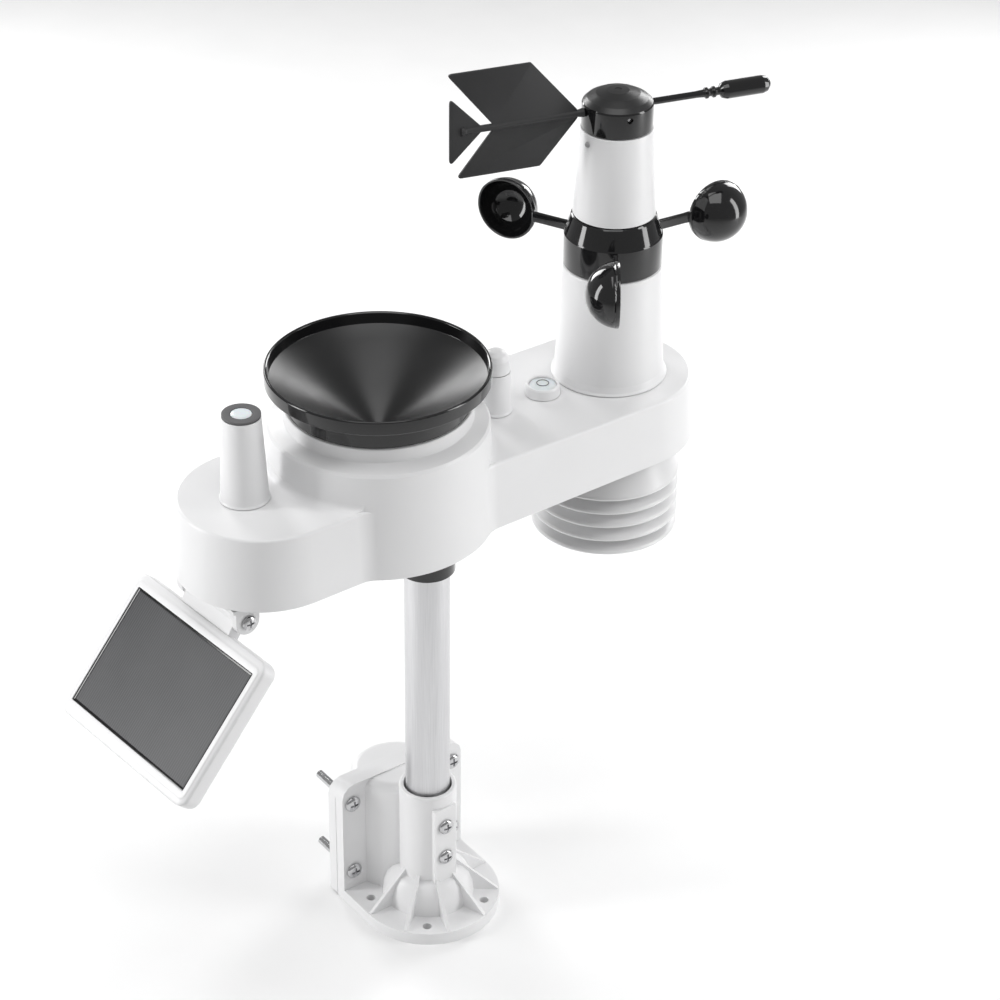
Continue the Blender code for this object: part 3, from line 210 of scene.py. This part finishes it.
def rounded(points, radius, closed, steps=4):
    """A chain of (r, z) points with its corners rounded, each by no more than its shorter side allows."""
    made = []
    count = len(points)
    for i, point in enumerate(points):
        corner = Vector(point)
        if not closed and i in (0, count - 1):
            made.append(tuple(corner))
            continue
        before = Vector(points[i - 1]) - corner
        after = Vector(points[(i + 1) % count]) - corner
        bend = math.pi - before.angle(after, math.pi)
        if bend < math.radians(9):
            made.append(tuple(corner))
            continue
        reach = min(radius * math.tan(bend / 2), 0.45 * before.length, 0.45 * after.length)
        start = corner + before.normalized() * reach
        end = corner + after.normalized() * reach
        for step in range(steps + 1):
            t = step / steps
            made.append(tuple((1 - t) ** 2 * start + 2 * t * (1 - t) * corner + t ** 2 * end))
    return made


def profile_of(node, frame_of_axis, turn=0):
    """The (r, z) chain of a turned CAD node in a half plane through its axis, and whether it is closed."""
    inverse = frame_of_axis.inverted()
    quarter = Matrix.Rotation(-math.radians(turn), 4, "Z") @ inverse
    mesh = NODES[node].data
    keys = []
    for vertex in mesh.vertices:
        x, y, z = quarter @ vertex.co
        flat = abs(y) < 0.004 * MM and x > -0.004 * MM
        keys.append((round(max(x, 0), 6), round(z, 6)) if flat else None)
    links = {}
    for polygon in mesh.polygons:
        corners = [keys[i] for i in polygon.vertices]
        for a, b in zip(corners, corners[1:] + corners[:1]):
            if a and b and a != b and not (a[0] < 1e-5 and b[0] < 1e-5):
                links.setdefault(a, set()).add(b)
                links.setdefault(b, set()).add(a)
    ends = [key for key, others in links.items() if len(others) == 1]
    closed = not ends
    start = max(ends, key=lambda key: key[1]) if ends else max(links, key=lambda key: key[1])
    chain = [start]
    previous = None
    while True:
        following = [key for key in links[chain[-1]] if key != previous]
        if not following or following[0] == start:
            break
        previous = chain[-1]
        chain.append(following[0])
    return chain, closed


def upright(node):
    """A frame at the middle of a node's box in plan, with Z up."""
    low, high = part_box(node)
    return Matrix.Translation(((low.x + high.x) / 2, (low.y + high.y) / 2, 0))


def spin(name, chain, closed, matrix, material, segments=MEDIUM):
    """Turns an (r, z) chain about the Z axis of a frame."""
    bm = bmesh.new()
    columns = []
    for i in range(segments):
        turn = 2 * math.pi * i / segments
        cos, sin = math.cos(turn), math.sin(turn)
        columns.append([bm.verts.new((r * cos, r * sin, z)) for r, z in chain])
    count = len(chain)
    for i, column in enumerate(columns):
        beside = columns[(i + 1) % segments]
        for j in range(count if closed else count - 1):
            k = (j + 1) % count
            corners = [column[j], column[k], beside[k], beside[j]]
            if chain[j][0] < 1e-6:
                corners = [column[j], column[k], beside[k]]
            elif chain[k][0] < 1e-6:
                corners = [column[j], column[k], beside[j]]
            bm.faces.new(corners)
    bm.transform(matrix)
    return finish_mesh(bm, name, material)


def turned(node, body, material, slot, soft=0.5 * MM, segments=MEDIUM, matrix=None, turn=0):
    """A fine, round-edged copy of a turned CAD node, in that node's place."""
    matrix = matrix or upright(node)
    chain, closed = profile_of(node, matrix, turn)
    piece = spin(f"{node}_piece", rounded(chain, soft, closed), closed, matrix, material, segments)
    return settle(piece, body, slot, node)


def settle(piece, body, slot, *nodes):
    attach(piece, body)
    if nodes:
        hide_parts(*nodes)
    return piece


def refined(node, body, material, slot, soft=0.4 * MM, limit=38, segments=2, name=None):
    """A clean copy of a CAD node with its edges rounded."""
    bm = bmesh.new()
    bm.from_mesh(NODES[node].data)
    bmesh.ops.remove_doubles(bm, verts=bm.verts, dist=0.002 * MM)
    bmesh.ops.dissolve_limit(bm, angle_limit=math.radians(0.6), verts=bm.verts, edges=bm.edges)
    piece = finish_mesh(bm, name or f"{node}_piece", material)
    round_edges(piece, soft, limit, segments)
    return settle(piece, body, slot, node)


def round_edges(piece, width, limit=38, segments=2):
    bevel = piece.modifiers.new("Round", "BEVEL")
    bevel.width = width
    bevel.segments = segments
    bevel.limit_method = "ANGLE"
    bevel.angle_limit = math.radians(limit)
    bevel.harden_normals = False
    bevel.miter_outer = "MITER_ARC"
    normals = piece.modifiers.new("Normals", "WEIGHTED_NORMAL")
    normals.keep_sharp = False
    normals.weight = 80


def combine(piece, tools, operation):
    """Joins tools to a piece or cuts them from it, and applies the result."""
    for tool in tools:
        modifier = piece.modifiers.new("Boolean", "BOOLEAN")
        modifier.operation = operation
        modifier.object = tool
        modifier.solver = "EXACT"
    graph = bpy.context.evaluated_depsgraph_get()
    mesh = bpy.data.meshes.new_from_object(piece.evaluated_get(graph))
    piece.modifiers.clear()
    piece.data = mesh
    for tool in tools:
        bpy.data.objects.remove(tool)
    return piece


def arc(centre, radius, start, end, steps):
    points = []
    for i in range(steps + 1):
        turn = math.radians(start + (end - start) * i / steps)
        points.append((centre[0] + radius * math.cos(turn), centre[1] + radius * math.sin(turn)))
    return points


def skin(bm, loops):
    for lower, upper in zip(loops, loops[1:]):
        for i, corner in enumerate(lower):
            after = (i + 1) % len(lower)
            bm.faces.new((corner, lower[after], upper[after], upper[i]))


def loft(name, rings, material):
    """Skins rings of equal length, and caps the first and the last."""
    bm = bmesh.new()
    loops = [[bm.verts.new(point) for point in ring] for ring in rings]
    skin(bm, loops)
    bm.faces.new(loops[0])
    bm.faces.new(loops[-1])
    return finish_mesh(bm, name, material)


def hoop(name, rings, material, sharp):
    """Skins rings of equal length, and the last one back to the first."""
    bm = bmesh.new()
    loops = [[bm.verts.new(point) for point in ring] for ring in rings]
    skin(bm, loops + loops[:1])
    return finish_mesh(bm, name, material, sharp)


def repaint(material, *names):
    for name in names:
        slots = NODES[name].data.materials
        slots.clear()
        slots.append(material)


def smooth_node(name):
    """Smooth shading on a CAD node that stays, by modifiers only."""
    node = NODES[name]
    for polygon in node.data.polygons:
        polygon.use_smooth = True
    weld = node.modifiers.new("Weld", "WELD")
    weld.merge_threshold = 0.002 * MM
    split = node.modifiers.new("Edges", "EDGE_SPLIT")
    split.split_angle = math.radians(32)


# Where things are

TOWER_X = JOINTS["cups_spin"]["pos_m"][0]
VANE_Z = JOINTS["vane_turn"]["pos_m"][2]
HINGE = Vector(JOINTS["panel_tilt"]["pos_m"])
FUNNEL_LOW, FUNNEL_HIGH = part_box("rain_funnel")
FUNNEL_INNER = 58.8 * MM
DRUM_X = (FUNNEL_LOW.x + FUNNEL_HIGH.x) / 2
SHELL_LOW, SHELL_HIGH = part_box("housing_shell")
TOWER_AXIS = Matrix.Translation((TOWER_X, 0, 0))
HOUSING_FILLET = 15 * MM
HOUSING_DRAFT = 2.4 * MM
HOUSING_WALL = 2.5 * MM
UNDERSIDE_SLOPE = 0.0199
DRUM_SHOULDER = 347 * MM
DRUM_SHOULDER_RADIUS = 58.9 * MM
COLLAR_RADIUS = 51.1 * MM
CUP_HEADING = -5.6  # degrees, as are the other headings and tilts
CUP_CIRCLE = 67.8 * MM
VANE_HEADING = -14.6
SET_SCREW_TURN = -93.4
PANEL_TILT = 48.3
PANEL_LENGTH = 87.4 * MM
PANEL_HALF_WIDTH = 57.9 * MM
PANEL_SETBACK = 11.6 * MM
PANEL_FRONT = 2 * MM  # thickness of its front frame
PANEL_DEPTH = 12.4 * MM
PANEL_SEAT = 3.9 * MM  # of its front, over the hinge
PANEL_CORNER = 6.5
LUG_FACE = 27.8 * MM

# Pieces


def housing():
    """The white shell in fine steps, with the drum on it and a hollow flare where the two meet."""
    half = SHELL_HIGH.x - TOWER_X
    left = SHELL_LOW.x + half
    drum = SHELL_HIGH.y
    fillet = HOUSING_FILLET
    draft = HOUSING_DRAFT
    wall = HOUSING_WALL
    slope = UNDERSIDE_SLOPE
    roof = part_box("tower_lower")[0].z - 0.3 * MM
    rim_z = SHELL_LOW.z + slope * half
    rise = half + fillet
    run = math.sqrt((drum + fillet) ** 2 - rise ** 2)
    lean = math.degrees(math.atan2(rise, run))

    # A fillet's centre is run along and rise across from the drum's.
    def outline(inset):
        lobe = half - inset
        blend = fillet + inset
        points = arc((TOWER_X, 0), lobe, -90, 90, 60)
        points += arc((DRUM_X + run, rise), blend, 270, 180 + lean, 12)
        points += arc((DRUM_X, 0), drum - inset, lean, 180 - lean, 40)[1:-1]
        points += arc((DRUM_X - run, rise), blend, 360 - lean, 270, 12)
        points += arc((left, 0), lobe, 90, 270, 60)
        points += arc((DRUM_X - run, -rise), blend, 90, lean, 12)
        points += arc((DRUM_X, 0), drum - inset, 180 + lean, 360 - lean, 40)[1:-1]
        points += arc((DRUM_X + run, -rise), blend, 180 - lean, 90, 12)
        return points

    def level(inset, height):
        return [(x, y, height) for x, y in outline(inset)]

    def sloped(inset, offset):
        return [(x, y, rim_z + slope * (x - left) + offset) for x, y in outline(inset)]

    soft = 1.6 * MM
    rings = [sloped(0.5 * MM, 0), sloped(0.12 * MM, 0.14 * MM), sloped(0, 0.5 * MM)]
    for i in range(6):
        turn = math.radians(18 * i)
        rings.append(level(draft + soft * (1 - math.cos(turn)), roof - soft * (1 - math.sin(turn))))
    shell = loft("housing_piece", rings, WHITE)

    about_drum = Matrix.Translation((DRUM_X, 0, 0))
    top = SHELL_HIGH.z
    proud = 0.03 * MM
    buried = 0.55 * 42 * MM
    base = drum - draft
    shoulder = DRUM_SHOULDER
    neck = COLLAR_RADIUS
    side = [(0, top), (neck, top), (neck, shoulder + 2.8 * MM), (DRUM_SHOULDER_RADIUS, shoulder),
            (base - 0.7 * MM, shoulder - 1.6 * MM), (base + proud, roof),
            (base + draft * 0.55 + proud, roof - buried), (0, roof - buried)]
    drum_piece = spin("drum", rounded(side, 0.9 * MM, False, 5), False, about_drum, WHITE, FINE)

    sweep = 3.4 * MM
    skirt = [(base - 4 * MM, roof - 1.5 * MM), (base + sweep + 0.3 * MM, roof - 1.5 * MM),
             (base + sweep + 0.3 * MM, roof)]
    for i in range(8):
        turn = math.radians(90 * i / 7)
        skirt.append((base + proud + sweep * (1 - math.sin(turn)), roof + sweep * (1 - math.cos(turn))))
    skirt.append((base - 4 * MM, roof + sweep))
    flare = spin("flare", skirt, True, about_drum, WHITE, FINE)
    keep = loft("keep", [level(draft + soft, roof - 1 * MM), level(draft + soft, roof + 9 * MM)], WHITE)
    combine(flare, [keep], "INTERSECT")
    inner = [sloped(wall, -5 * MM), level(wall + draft, roof - wall)]
    hollow = loft("hollow", inner, WHITE)
    well = [(0, top + 5 * MM), (neck - 2.1 * MM, top + 5 * MM), (neck - 2.1 * MM, shoulder + 0.5 * MM),
            (56.4 * MM, shoulder - 2 * MM), (base - wall - 0.4 * MM, roof - 6 * MM), (0, roof - 6 * MM)]
    combine(shell, [drum_piece, flare], "UNION")
    combine(shell, [hollow, spin("well", well, False, about_drum, WHITE, MEDIUM)], "DIFFERENCE")
    shell.data.shade_smooth()
    shell.data.set_sharp_from_angle(angle=math.radians(40))
    normals = shell.modifiers.new("Normals", "WEIGHTED_NORMAL")
    normals.keep_sharp = True
    settle(shell, "head", "white_abs", "housing_shell")


housing()
funnel = turned("rain_funnel", "rain_funnel", GLOSS, "gloss_black", 0.5 * MM, FINE)
turned("light_post", "head", WHITE, "white_abs", 0.6 * MM)
turned("light_ring", "head", DARK_GREY, "grey_plastic", 0.25 * MM)
turned("light_diffuser", "head", MILKY, "diffuser", 0.3 * MM)
turned("antenna_post", "head", WHITE, "white_abs", 0.5 * MM)
turned("antenna_cap", "head", WHITE, "white_abs", 1.5 * MM)
turned("level_cup", "head", WHITE, "white_abs", 0.35 * MM)
turned("level_vial", "head", MILKY, "clear_plastic", 0.3 * MM)
turned("tower_lower", "head", WHITE, "white_abs", 1.2 * MM, FINE)
turned("tower_upper", "head", WHITE, "white_abs", 0.4 * MM, FINE)
turned("mast_pole", "head", ALUMINIUM, "aluminium", 0.25 * MM)
for plate in ("shield_top", "shield_ring_1", "shield_ring_2", "shield_ring_3", "shield_base"):
    turned(plate, "head", WHITE, "white_abs", 0.6 * MM, FINE, TOWER_AXIS, 90)


def turned_about(heading, height=0.0):
    """A frame on the tower's axis, turned by a heading in degrees."""
    return Matrix.Translation((TOWER_X, 0, height)) @ Matrix.Rotation(math.radians(heading), 4, "Z")


def prism(name, outline, low, high, matrix, material):
    bm = bmesh.new()
    face = bm.faces.new([bm.verts.new((x, y, low)) for x, y in outline])
    for item in bmesh.ops.extrude_face_region(bm, geom=[face])["geom"]:
        if isinstance(item, bmesh.types.BMVert):
            item.co.z = high
    bm.transform(matrix)
    return finish_mesh(bm, name, material)


def tube(name, radius, low, high, matrix, material, steps=32, soft=0.0):
    side = [(0, high), (radius, high), (radius, low), (0, low)]
    return spin(name, rounded(side, soft, False) if soft else side, False, matrix, material, steps)


def rotor():
    matrix = turned_about(CUP_HEADING)
    turned("rotor_hub", "cup_rotor", GLOSS, "gloss_black", 0.22 * MM, FINE, matrix)
    low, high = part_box("wind_cup_1")
    height = (low.z + high.z) / 2
    radius = (high.z - low.z) / 2
    wall = 1.3 * MM
    band = 2.2 * MM
    for number in (1, 2, 3):
        spoke = turned_about(CUP_HEADING + 120 * (number - 1), height)
        seat = spoke @ Matrix.Translation((CUP_CIRCLE, 0, 0)) @ Matrix.Rotation(math.pi / 2, 4, "X")
        outer = [(radius * math.sin(t), radius * math.cos(t)) for t in quarter(14)]
        inner = [((radius - wall) * math.sin(t), (radius - wall) * math.cos(t)) for t in quarter(14)]
        outer[-1] = (radius, 0.25 * MM)
        rim = [(radius - 0.25 * MM, 0), (radius - wall + 0.25 * MM, 0)]
        inner[-1] = (radius - wall, 0.25 * MM)
        cup = spin(f"wind_cup_{number}_piece", outer + rim + inner[::-1], False, seat, GLOSS, FINE)
        ring = [(radius + 0.02 * MM, band), (radius + 0.02 * MM, 0.3 * MM), (radius - 0.4 * MM, 0.1 * MM),
                (radius - 0.6 * MM, band)]
        lip = spin("lip", ring, True, seat, GLOSS, FINE)
        hub_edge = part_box("rotor_hub")[1].x - TOWER_X
        root = hub_edge - 0.5 * MM
        tip = CUP_CIRCLE - radius + 1.2 * MM
        plan = [(root, -1.6 * MM), (root + 4 * MM, -1.05 * MM), (tip - 4 * MM, -1.0 * MM), (tip, -1.5 * MM),
                (tip, 1.5 * MM), (tip - 4 * MM, 1.0 * MM), (root + 4 * MM, 1.05 * MM), (root, 1.6 * MM)]
        arm = prism("arm", rounded(plan, 3 * MM, True), -3 * MM, 3 * MM, spoke, GLOSS)
        round_edges(arm, 0.5 * MM, 38, 3)
        combine(cup, [lip, arm], "UNION")
        cup.data.set_sharp_from_angle(angle=math.radians(38))
        settle(cup, "cup_rotor", "gloss_black", f"wind_cup_{number}")


def second_finish(piece, material, chosen):
    """Gives some of a piece's faces another material."""
    piece.data.materials.append(material)
    for face in piece.data.polygons:
        if chosen(face):
            face.material_index = 1


def quarter(steps):
    return [math.pi / 2 * i / steps for i in range(steps + 1)]


def vane():
    height = VANE_Z
    plain = turned_about(VANE_HEADING)
    at_rod = turned_about(VANE_HEADING, height)
    chain, closed = profile_of("vane_cap", plain)
    cap = spin("vane_cap_piece", rounded(chain, 0.7 * MM, closed, 5), closed, plain, GLOSS, FINE)
    screw_line = (at_rod @ Matrix.Rotation(math.radians(SET_SCREW_TURN), 4, "Z")
                  @ Matrix.Rotation(math.pi / 2, 4, "Y"))
    combine(cap, [tube("set_hole", 1.7 * MM, 10 * MM, 25 * MM, screw_line, GLOSS)], "DIFFERENCE")
    cap_top = Matrix.Translation((TOWER_X, 0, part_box("vane_cap")[1].z))
    dimple = tube("dimple", 2.1 * MM, -0.35 * MM, 5 * MM, cap_top, GLOSS)
    combine(cap, [dimple], "DIFFERENCE")
    cap.data.set_sharp_from_angle(angle=math.radians(30))
    second_finish(cap, SATIN, lambda face: face.normal.z > 0.5 and face.center.z > VANE_Z)
    settle(cap, "wind_vane", "gloss_black", "vane_cap")

    lay = at_rod @ Matrix.Rotation(math.pi / 2, 4, "Y")
    chain, closed = profile_of("vane_nose", lay)
    nose = spin("vane_nose_piece", rounded(chain, 0.5 * MM, closed), closed, lay, GLOSS, SMALL)
    settle(nose, "wind_vane", "gloss_black", "vane_nose")

    flat = at_rod @ Matrix.Rotation(math.pi / 2, 4, "X")
    half = 0.8 * MM
    root = 0.6
    shapes = {  # corners in millimetres, along the rod and up from it
        "upper": [(-22, root), (-50.8, 33.5), (-98.3, 33.5), (-71.4, root)],
        "lower": [(-22, -root), (-71.4, -root), (-92.6, -26.9), (-44.7, -26.9)],
        "tail": [(-77.6, root), (-96.5, 20), (-96.5, -19), (-77.6, -root)],
    }
    rod_line = at_rod @ Matrix.Rotation(-math.pi / 2, 4, "Y")
    start = 19.7 * MM
    end = 90.2 * MM
    rod = 2.6 * MM
    waist = 1.9 * MM
    rod_side = [(0, end), (rod, end), (rod, end - 2.2 * MM), (waist, end - 3 * MM),
                (waist, start + 4 * MM), (rod, start), (0, start)]
    tail = spin("vane_tail_piece", rounded(rod_side, 0.6 * MM, False), False, rod_line, MATTE, SMALL)
    blades = []
    for label, corners in shapes.items():
        outline = rounded([(x * MM, z * MM) for x, z in corners], 1.6 * MM, True, 5)
        blade = prism(label, outline, -half, half, flat, MATTE)
        round_edges(blade, 0.3 * MM, 50, 2)
        blades.append(blade)
    combine(tail, blades, "UNION")
    tail.data.set_sharp_from_angle(angle=math.radians(35))
    settle(tail, "wind_vane", "vane_black", "vane_tail")


def screw(node, body, head, shank, location, direction, recess=0.62):
    """A pan-head cross screw. Head and shank are (radius, length); the direction points out of the head."""
    radius, height = head
    shank_radius, length = shank
    matrix = Matrix.Translation(location) @ Vector(direction).to_track_quat("Z", "Y").to_matrix().to_4x4()
    side = [(0, height)]
    for t in quarter(8)[1:]:
        side.append((radius * math.sin(t), height * (0.25 + 0.75 * math.cos(t))))
    side += [(radius, 0), (shank_radius, 0), (shank_radius, -length), (0, -length)]
    piece = spin(f"{node}_piece", side, False, matrix, STEEL, SMALL)
    long = radius * recess
    thin = radius * 0.13
    rings = []
    for z, grow in ((height * 0.25, 0.55), (height * 1.3, 1.15)):
        arms = [(thin, thin), (thin, long * grow), (-thin, long * grow), (-thin, thin), (-long * grow, thin),
                (-long * grow, -thin)]
        arms += [(-x, -y) for x, y in arms]
        rings.append([matrix @ Vector((x, y, z)) for x, y in arms])
    combine(piece, [loft("cross", rings, STEEL)], "DIFFERENCE")
    piece.data.set_sharp_from_angle(angle=math.radians(35))
    settle(piece, body, "steel", node)


def screws():
    for number in (1, 2):
        low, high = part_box(f"socket_screw_{number}")
        face = low.y + 2.5 * MM
        screw(f"socket_screw_{number}", "foot", (4.8 * MM, 2.5 * MM), (2.2 * MM, high.y - face),
              (0, face, (low.z + high.z) / 2), (0, -1, 0))
    for number in (1, 2, 3, 4):
        low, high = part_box(f"clamp_bolt_{number}")
        face = low.y + 2.6 * MM
        screw(f"clamp_bolt_{number}", "foot", (5 * MM, 2.6 * MM), (2.5 * MM, high.y - face),
              ((low.x + high.x) / 2, face, (low.z + high.z) / 2), (0, -1, 0))
    for number in (1, 2):
        low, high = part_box(f"shield_screw_{number}")
        face = low.z + 1.8 * MM
        screw(f"shield_screw_{number}", "head", (3 * MM, 1.8 * MM), (1.5 * MM, high.z - face),
              ((low.x + high.x) / 2, 0, face), (0, 0, -1))
    low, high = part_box("collar_screw")
    face = high.y - 1.8 * MM
    screw("collar_screw", "head", (3 * MM, 1.8 * MM), (1.6 * MM, face - low.y),
          (0, face, (low.z + high.z) / 2), (0, 1, 0))
    along = Vector((-math.sin(math.radians(PANEL_YAW)), math.cos(math.radians(PANEL_YAW)), 0))
    for number, side in ((1, -1), (2, 1)):
        at = HINGE + along * side * LUG_FACE
        screw(f"hinge_screw_{number}", "head", (4.3 * MM, 2.2 * MM), (1.7 * MM, 14 * MM), at, along * side)
    outward = turned_about(VANE_HEADING + SET_SCREW_TURN) @ Vector((1, 0, 0)) - Vector((TOWER_X, 0, 0))
    at = Vector((TOWER_X, 0, VANE_Z)) + outward * 17.3 * MM
    screw("vane_set_screw", "wind_vane", (1.5 * MM, 0.8 * MM), (1.1 * MM, 11 * MM), at, outward)


def rounded_box(x_low, x_high, y_low, y_high, radius, z, steps=8):
    """A rectangle with round corners at one height, always with the same number of points."""
    points = []
    for cx, cy, start in ((x_high - radius, y_high - radius, 0), (x_low + radius, y_high - radius, 90),
                          (x_low + radius, y_low + radius, 180), (x_high - radius, y_low + radius, 270)):
        points += [(x, y, z) for x, y in arc((cx, cy), radius, start, start + 90, steps)]
    return points


def panel():
    matrix = (Matrix.Translation(HINGE) @ Matrix.Rotation(math.radians(PANEL_YAW), 4, "Z")
              @ Matrix.Rotation(-math.radians(PANEL_TILT), 4, "Y"))
    near = -PANEL_SETBACK
    far = near - PANEL_LENGTH
    half = PANEL_HALF_WIDTH
    face = PANEL_SEAT
    seam = face - PANEL_FRONT
    back = face - PANEL_DEPTH

    def ring(inset_x, inset_y, radius, z):
        """The panel's outline at a height, drawn in by two insets. Insets and radius are millimetres."""
        points = rounded_box(far + inset_x * MM, near - inset_x * MM,
                             -half + inset_y * MM, half - inset_y * MM, radius * MM, z)
        return [matrix @ Vector(point) for point in points]

    rings = [
        ring(0.5, 0.5, 6.0, seam), ring(0.1, 0.1, 6.4, seam + 0.15 * MM),
        ring(0, 0, PANEL_CORNER, seam + 0.5 * MM), ring(0, 0, PANEL_CORNER, face - 1.9 * MM),
        ring(0.25, 0.25, 6.3, face - 1.3 * MM),
        ring(0.8, 0.8, 5.8, face - 0.9 * MM), ring(2.8, 1.6, 4.6, face - 0.55 * MM),
        ring(3.9, 2.2, 3.6, face - 0.35 * MM), ring(4.2, 2.4, 3.3, face - 0.1 * MM),
        ring(4.5, 2.7, 3.0, face), ring(7.6, 5.0, 1.0, face), ring(7.9, 5.3, 0.7, face - 0.1 * MM),
        ring(8.0, 5.4, 0.6, face - 0.4 * MM), ring(8.0, 5.4, 0.6, seam),
    ]
    frame_piece = hoop("panel_frame_piece", rings, WHITE, 50)
    settle(frame_piece, "solar_panel", "white_abs", "panel_frame")

    lining = [ring(8.05, 5.45, 0.55, face - 0.5 * MM), ring(8.05, 5.45, 0.55, seam + 0.02 * MM),
              ring(9.4, 6.6, 0.5, seam + 0.02 * MM), ring(9.4, 6.6, 0.5, seam + 1.15 * MM),
              ring(8.6, 5.9, 0.5, seam + 1.25 * MM), ring(8.5, 5.8, 0.5, face - 0.5 * MM)]
    gasket = hoop("panel_gasket", lining, GLOSS, 40)
    settle(gasket, "solar_panel", "gloss_black")

    glass = loft("solar_cell_piece", [
        ring(9.2, 6.5, 0.5, seam), ring(9.2, 6.5, 0.5, seam + 0.75 * MM),
        ring(9.5, 6.8, 0.4, seam + 1.0 * MM), ring(9.9, 7.2, 0.3, seam + 1.05 * MM)], CELL)
    settle(glass, "solar_panel", "solar_cell", "solar_cell")

    top = seam - 0.25 * MM
    shell = loft("panel_back_piece", [
        ring(4.2, 4.2, 4.5, back), ring(2.0, 2.0, 5.2, back + 0.25 * MM),
        ring(0.8, 0.8, 5.9, back + 1.0 * MM), ring(0.25, 0.25, 6.3, back + 2.2 * MM),
        ring(0, 0, PANEL_CORNER, back + 4 * MM), ring(0, 0, PANEL_CORNER, top - 0.3 * MM),
        ring(0.35, 0.35, 6.2, top)], WHITE)
    tab_half = 22 * MM
    flat = matrix @ Matrix.Rotation(math.pi / 2, 4, "X")
    tab_side = [(near - 4 * MM, back + 2 * MM), (-3 * MM, -5.0 * MM), (1 * MM, -5.0 * MM), (1 * MM, 3 * MM),
                (-3 * MM, 3.6 * MM), (near - 4 * MM, top - 0.4 * MM)]
    tab = prism("tab", rounded(tab_side, 2 * MM, True), -tab_half, tab_half, flat, WHITE)
    round_edges(tab, 0.6 * MM)
    knuckle = tube("knuckle", 5.2 * MM, -tab_half, tab_half, flat, WHITE, MEDIUM, 0.6 * MM)
    combine(shell, [tab, knuckle], "UNION")
    shell.data.set_sharp_from_angle(angle=math.radians(38))
    normals = shell.modifiers.new("Normals", "WEIGHTED_NORMAL")
    normals.keep_sharp = True
    settle(shell, "solar_panel", "white_abs", "panel_back")


def bubble_level():
    low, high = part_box("level_vial")
    middle = Matrix.Translation(((low.x + high.x) / 2, 0, high.z))
    mark = [(3.15 * MM, 0.14 * MM), (3.55 * MM, 0.14 * MM), (3.55 * MM, -0.1 * MM), (3.15 * MM, -0.1 * MM)]
    piece = spin("level_mark", mark, True, middle, DARK_GREY, SMALL)
    settle(piece, "head", "grey_plastic")


rotor()
vane()
bowl_edge = (FUNNEL_INNER - 0.2 * MM) ** 2
second_finish(funnel, BOWL, lambda face: face.normal.z > 0.5
              and (face.center.x - DRUM_X) ** 2 + face.center.y ** 2 < bowl_edge)
screws()
panel()
bubble_level()
turned("pole_collar", "head", GLOSS, "gloss_black", 0.5 * MM)
turned("reset_button", "reset_button", DARK_GREY, "grey_plastic", 0.3 * MM, SMALL)
refined("base_bracket", "foot", WHITE, "white_abs", 0.45 * MM)
refined("mast_clamp", "foot", WHITE, "white_abs", 0.45 * MM)
refined("underside_cover", "head", GLOSS, "gloss_black", 0.3 * MM)
refined("battery_door", "battery_door", GLOSS, "gloss_black", 0.4 * MM)
refined("panel_bracket", "head", WHITE, "white_abs", 0.5 * MM)
refined("thermo_hygro_sensor", "head", DARK_GREY, "grey_plastic", 0.2 * MM)
refined("bucket_cradle", "head", WHITE, "white_abs", 0.3 * MM)
refined("tipping_bucket", "tipping_bucket", DARK_GREY, "grey_plastic", 0.2 * MM)
repaint(DARK_GREY, "tower_spindle")
repaint(LIGHT_GREY, "tower_plug")
for name in ("vane_bearing", "rotor_bearing_1", "rotor_bearing_2", "vane_shaft", "bucket_pin"):
    repaint(STEEL, name)
repaint(BOARD, "circuit_board")
repaint(SLEEVE, "battery_1", "battery_2")
for name, node in NODES.items():
    if not node.hide_render:
        smooth_node(name)

# Stage, light and camera


def stage():
    bm = bmesh.new()
    bmesh.ops.create_grid(bm, x_segments=1, y_segments=1, size=6)
    paper = moulded("floor_look", (0.90, 0.90, 0.90), (0.92, 0.92, 0.92), (0.6, 0.7), 300.0)
    floor = finish_mesh(bm, "floor", paper)

    world = bpy.data.worlds.new("studio")
    bpy.context.scene.world = world
    world.use_nodes = True
    world.node_tree.nodes["Background"].inputs["Color"].default_value = (1, 1, 1, 1)
    world.node_tree.nodes["Background"].inputs["Strength"].default_value = 0.33
    bpy.context.scene.view_settings.view_transform = "Standard"


def softbox(name, place, size, power):
    """A light aimed at the object. Its place is how far right of the camera's line, towards it, and up."""
    right, towards, up = place
    ahead = Vector(CAMERA_HEADING)
    location = Vector((ahead.y, -ahead.x, 0)) * right - ahead * towards + Vector((0, 0, up))
    light = bpy.data.lights.new(name, "AREA")
    light.shape = "RECTANGLE"
    light.size, light.size_y = size
    light.energy = power
    obj = bpy.data.objects.new(name, light)
    bpy.context.scene.collection.objects.link(obj)
    obj.location = location
    obj.rotation_euler = (Vector((0, 0, 0.3)) - location).to_track_quat("-Z", "Y").to_euler()


def camera():
    data = bpy.data.cameras.new("camera")
    data.lens = CAMERA_LENS
    data.sensor_width = SENSOR_WIDTH
    data.shift_x = CAMERA_SHIFT
    data.clip_end = 20
    obj = bpy.data.objects.new("camera", data)
    bpy.context.scene.collection.objects.link(obj)
    obj.location = CAMERA_PLACE
    pitch = math.radians(CAMERA_PITCH)
    aim = Vector(CAMERA_HEADING) * math.cos(pitch) - Vector((0, 0, math.sin(pitch)))
    obj.rotation_euler = aim.to_track_quat("-Z", "Y").to_euler()
    bpy.context.scene.camera = obj


stage()
softbox("left", (-1.35, 0.15, 0.55), (0.32, 1.4), 12)
softbox("right", (1.35, 0.15, 0.6), (0.32, 1.5), 10)
softbox("left_rim", (-0.75, -1.2, 0.8), (0.4, 0.9), 9)
softbox("right_rim", (0.75, -1.2, 0.8), (0.4, 0.9), 8)
softbox("top", (0.0, 0.45, 1.9), (1.2, 1.2), 11)
camera()
